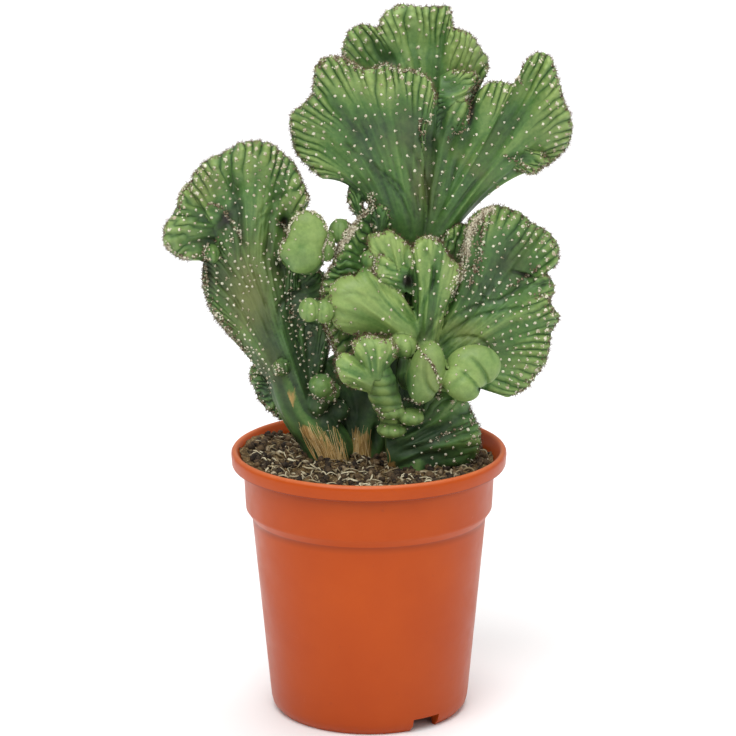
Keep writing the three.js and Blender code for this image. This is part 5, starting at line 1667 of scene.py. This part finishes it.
def make_fibres(rng):
    """Curled fibres that lie on the soil."""
    parts = []
    t = np.linspace(0, 1, FIBRE_POINTS)
    for x, y in zip(*scatter(FIBRES, rng)):
        length = rng.uniform(4, 15)
        heading = rng.uniform(0, TURN)
        bearing = heading + rng.normal(0, 0.22) * length * t
        px = x + np.cumsum(np.cos(bearing)) * length / FIBRE_POINTS
        py = y + np.cumsum(np.sin(bearing)) * length / FIBRE_POINTS
        if np.hypot(px, py).max() >= COLLAR_TOP_RADIUS - WALL - 1:
            continue
        lift = 0.5 + rng.uniform(0, 2.2) * np.sin(math.pi * t)
        ground = soil_height(px, py)
        path = np.stack([px, py, ground * 0.4 + 0.6 * ground.mean() + lift], -1)
        radius = rng.uniform(0.2, 0.75) * (1 - 0.6 * np.abs(2 * t - 1) ** 3)
        parts.append((*tube(path, radius, 4), rng.uniform(0.1, 1.0)))
    fibre = tinted_material("fibres", (66, 50, 36), (146, 128, 94), (226, 216, 184), 0.8, 600, 0.15)
    tinted_piece("soil_fibres", parts, fibre)


make_soil()
litter_rng = np.random.default_rng(31)
make_crumbs(litter_rng)
make_fibres(litter_rng)


# Straw at the foot of the stems

# For each stem: where its dry strands start and end, each from left to right in the photograph's view,
# and how many there are
STRAWS = {
    "left": ((-46, 186), (-15, 178), (-32, 157), (-13, 157), 70),
    "upper": ((-9, 182), (1, 181), (-10, 158), (0, 158), 24),
    "right": ((7, 174), (12, 174), (7, 155), (12, 154), 6),
}


def make_straws(material):
    """Dry strands of old skin that fan out over the feet of the stems."""
    rng = np.random.default_rng(83)
    t = np.linspace(0, 1, 9)
    parts = []
    for name, (top_left, top_right, foot_left, foot_right, count) in STRAWS.items():
        for share in rng.random(count):
            top = np.array(top_left) * (1 - share) + np.array(top_right) * share + rng.normal(0, 1.5, 2)
            foot = np.array(foot_left) * (1 - share) + np.array(foot_right) * share + rng.normal(0, 1.2, 2)
            top = foot + (top - foot) * rng.uniform(0.4, 1.0)
            line = top[None] * (1 - t)[:, None] + foot[None] * t[:, None]
            line[:, 0] += rng.normal(0, 1.0) * np.sin(math.pi * t)
            path = np.array([place for place, _ in skins[name].behind(*line.T, FARTHEST_STRAW)])
            if len(path) < 5:
                continue
            path[:, 1] = np.convolve(np.pad(path[:, 1], 1, "edge"), (0.25, 0.5, 0.25), "valid") - 0.35
            width = rng.uniform(0.16, 0.4) * (1 - 0.55 * np.linspace(1, 0, len(path)))
            parts.append((*tube(path, width, 5), rng.uniform(0.2, 1.0)))
    tinted_piece("straws", parts, material)


make_straws(tinted_material("straw", (146, 106, 56), (206, 168, 102), (242, 218, 162), 0.7, 900, 0.1))


# The studio

FLOOR_RADIUS = 6000
FLOOR_SIDES = 96
WORLD_LIGHT = 0.36

# Broad soft lights: how many degrees up and how many to the right of the camera, softness and strength
SUNS = {
    "key": (56, -22, 44, 1.95),
    "fill": (34, 48, 60, 0.5),
    "top": (74, 160, 44, 1.5),
}

floor_mesh = bpy.data.meshes.new("floor")
floor_points = ring_at(FLOOR_RADIUS * MM, 0, circle(FLOOR_SIDES))
floor_mesh.from_pydata(floor_points.tolist(), [], [tuple(range(FLOOR_SIDES))])
floor_mesh.materials.append(floor_material())
floor = linked("floor", floor_mesh)

for name, (elevation, bearing, softness, strength) in SUNS.items():
    light = bpy.data.lights.new(name, "SUN")
    light.angle = math.radians(softness)
    light.energy = strength
    up, aside = math.radians(elevation), math.radians(bearing)
    towards = Vector((math.cos(up) * math.sin(aside), -math.cos(up) * math.cos(aside), math.sin(up)))
    linked(name, light).rotation_euler = towards.to_track_quat("Z", "Y").to_euler()

scene = bpy.context.scene
world = bpy.data.worlds.new("studio")
world.use_nodes = True
background = world.node_tree.nodes["Background"]
background.inputs["Color"].default_value = (1, 1, 1, 1)
background.inputs["Strength"].default_value = WORLD_LIGHT
scene.world = world

camera_data = bpy.data.cameras.new("camera")
camera_data.lens = CAMERA_LENS
camera_data.sensor_width = CAMERA_SENSOR
camera_data.clip_end = 30
camera = linked("camera", camera_data)
camera.location = STANDPOINT * MM
pitch = Euler((math.radians(90 - CAMERA_PITCH), 0, 0)).to_matrix()
roll = Euler((0, 0, math.radians(CAMERA_ROLL))).to_matrix()
camera.rotation_euler = (pitch @ roll).to_euler()
scene.camera = camera
scene.view_settings.view_transform = "Standard"
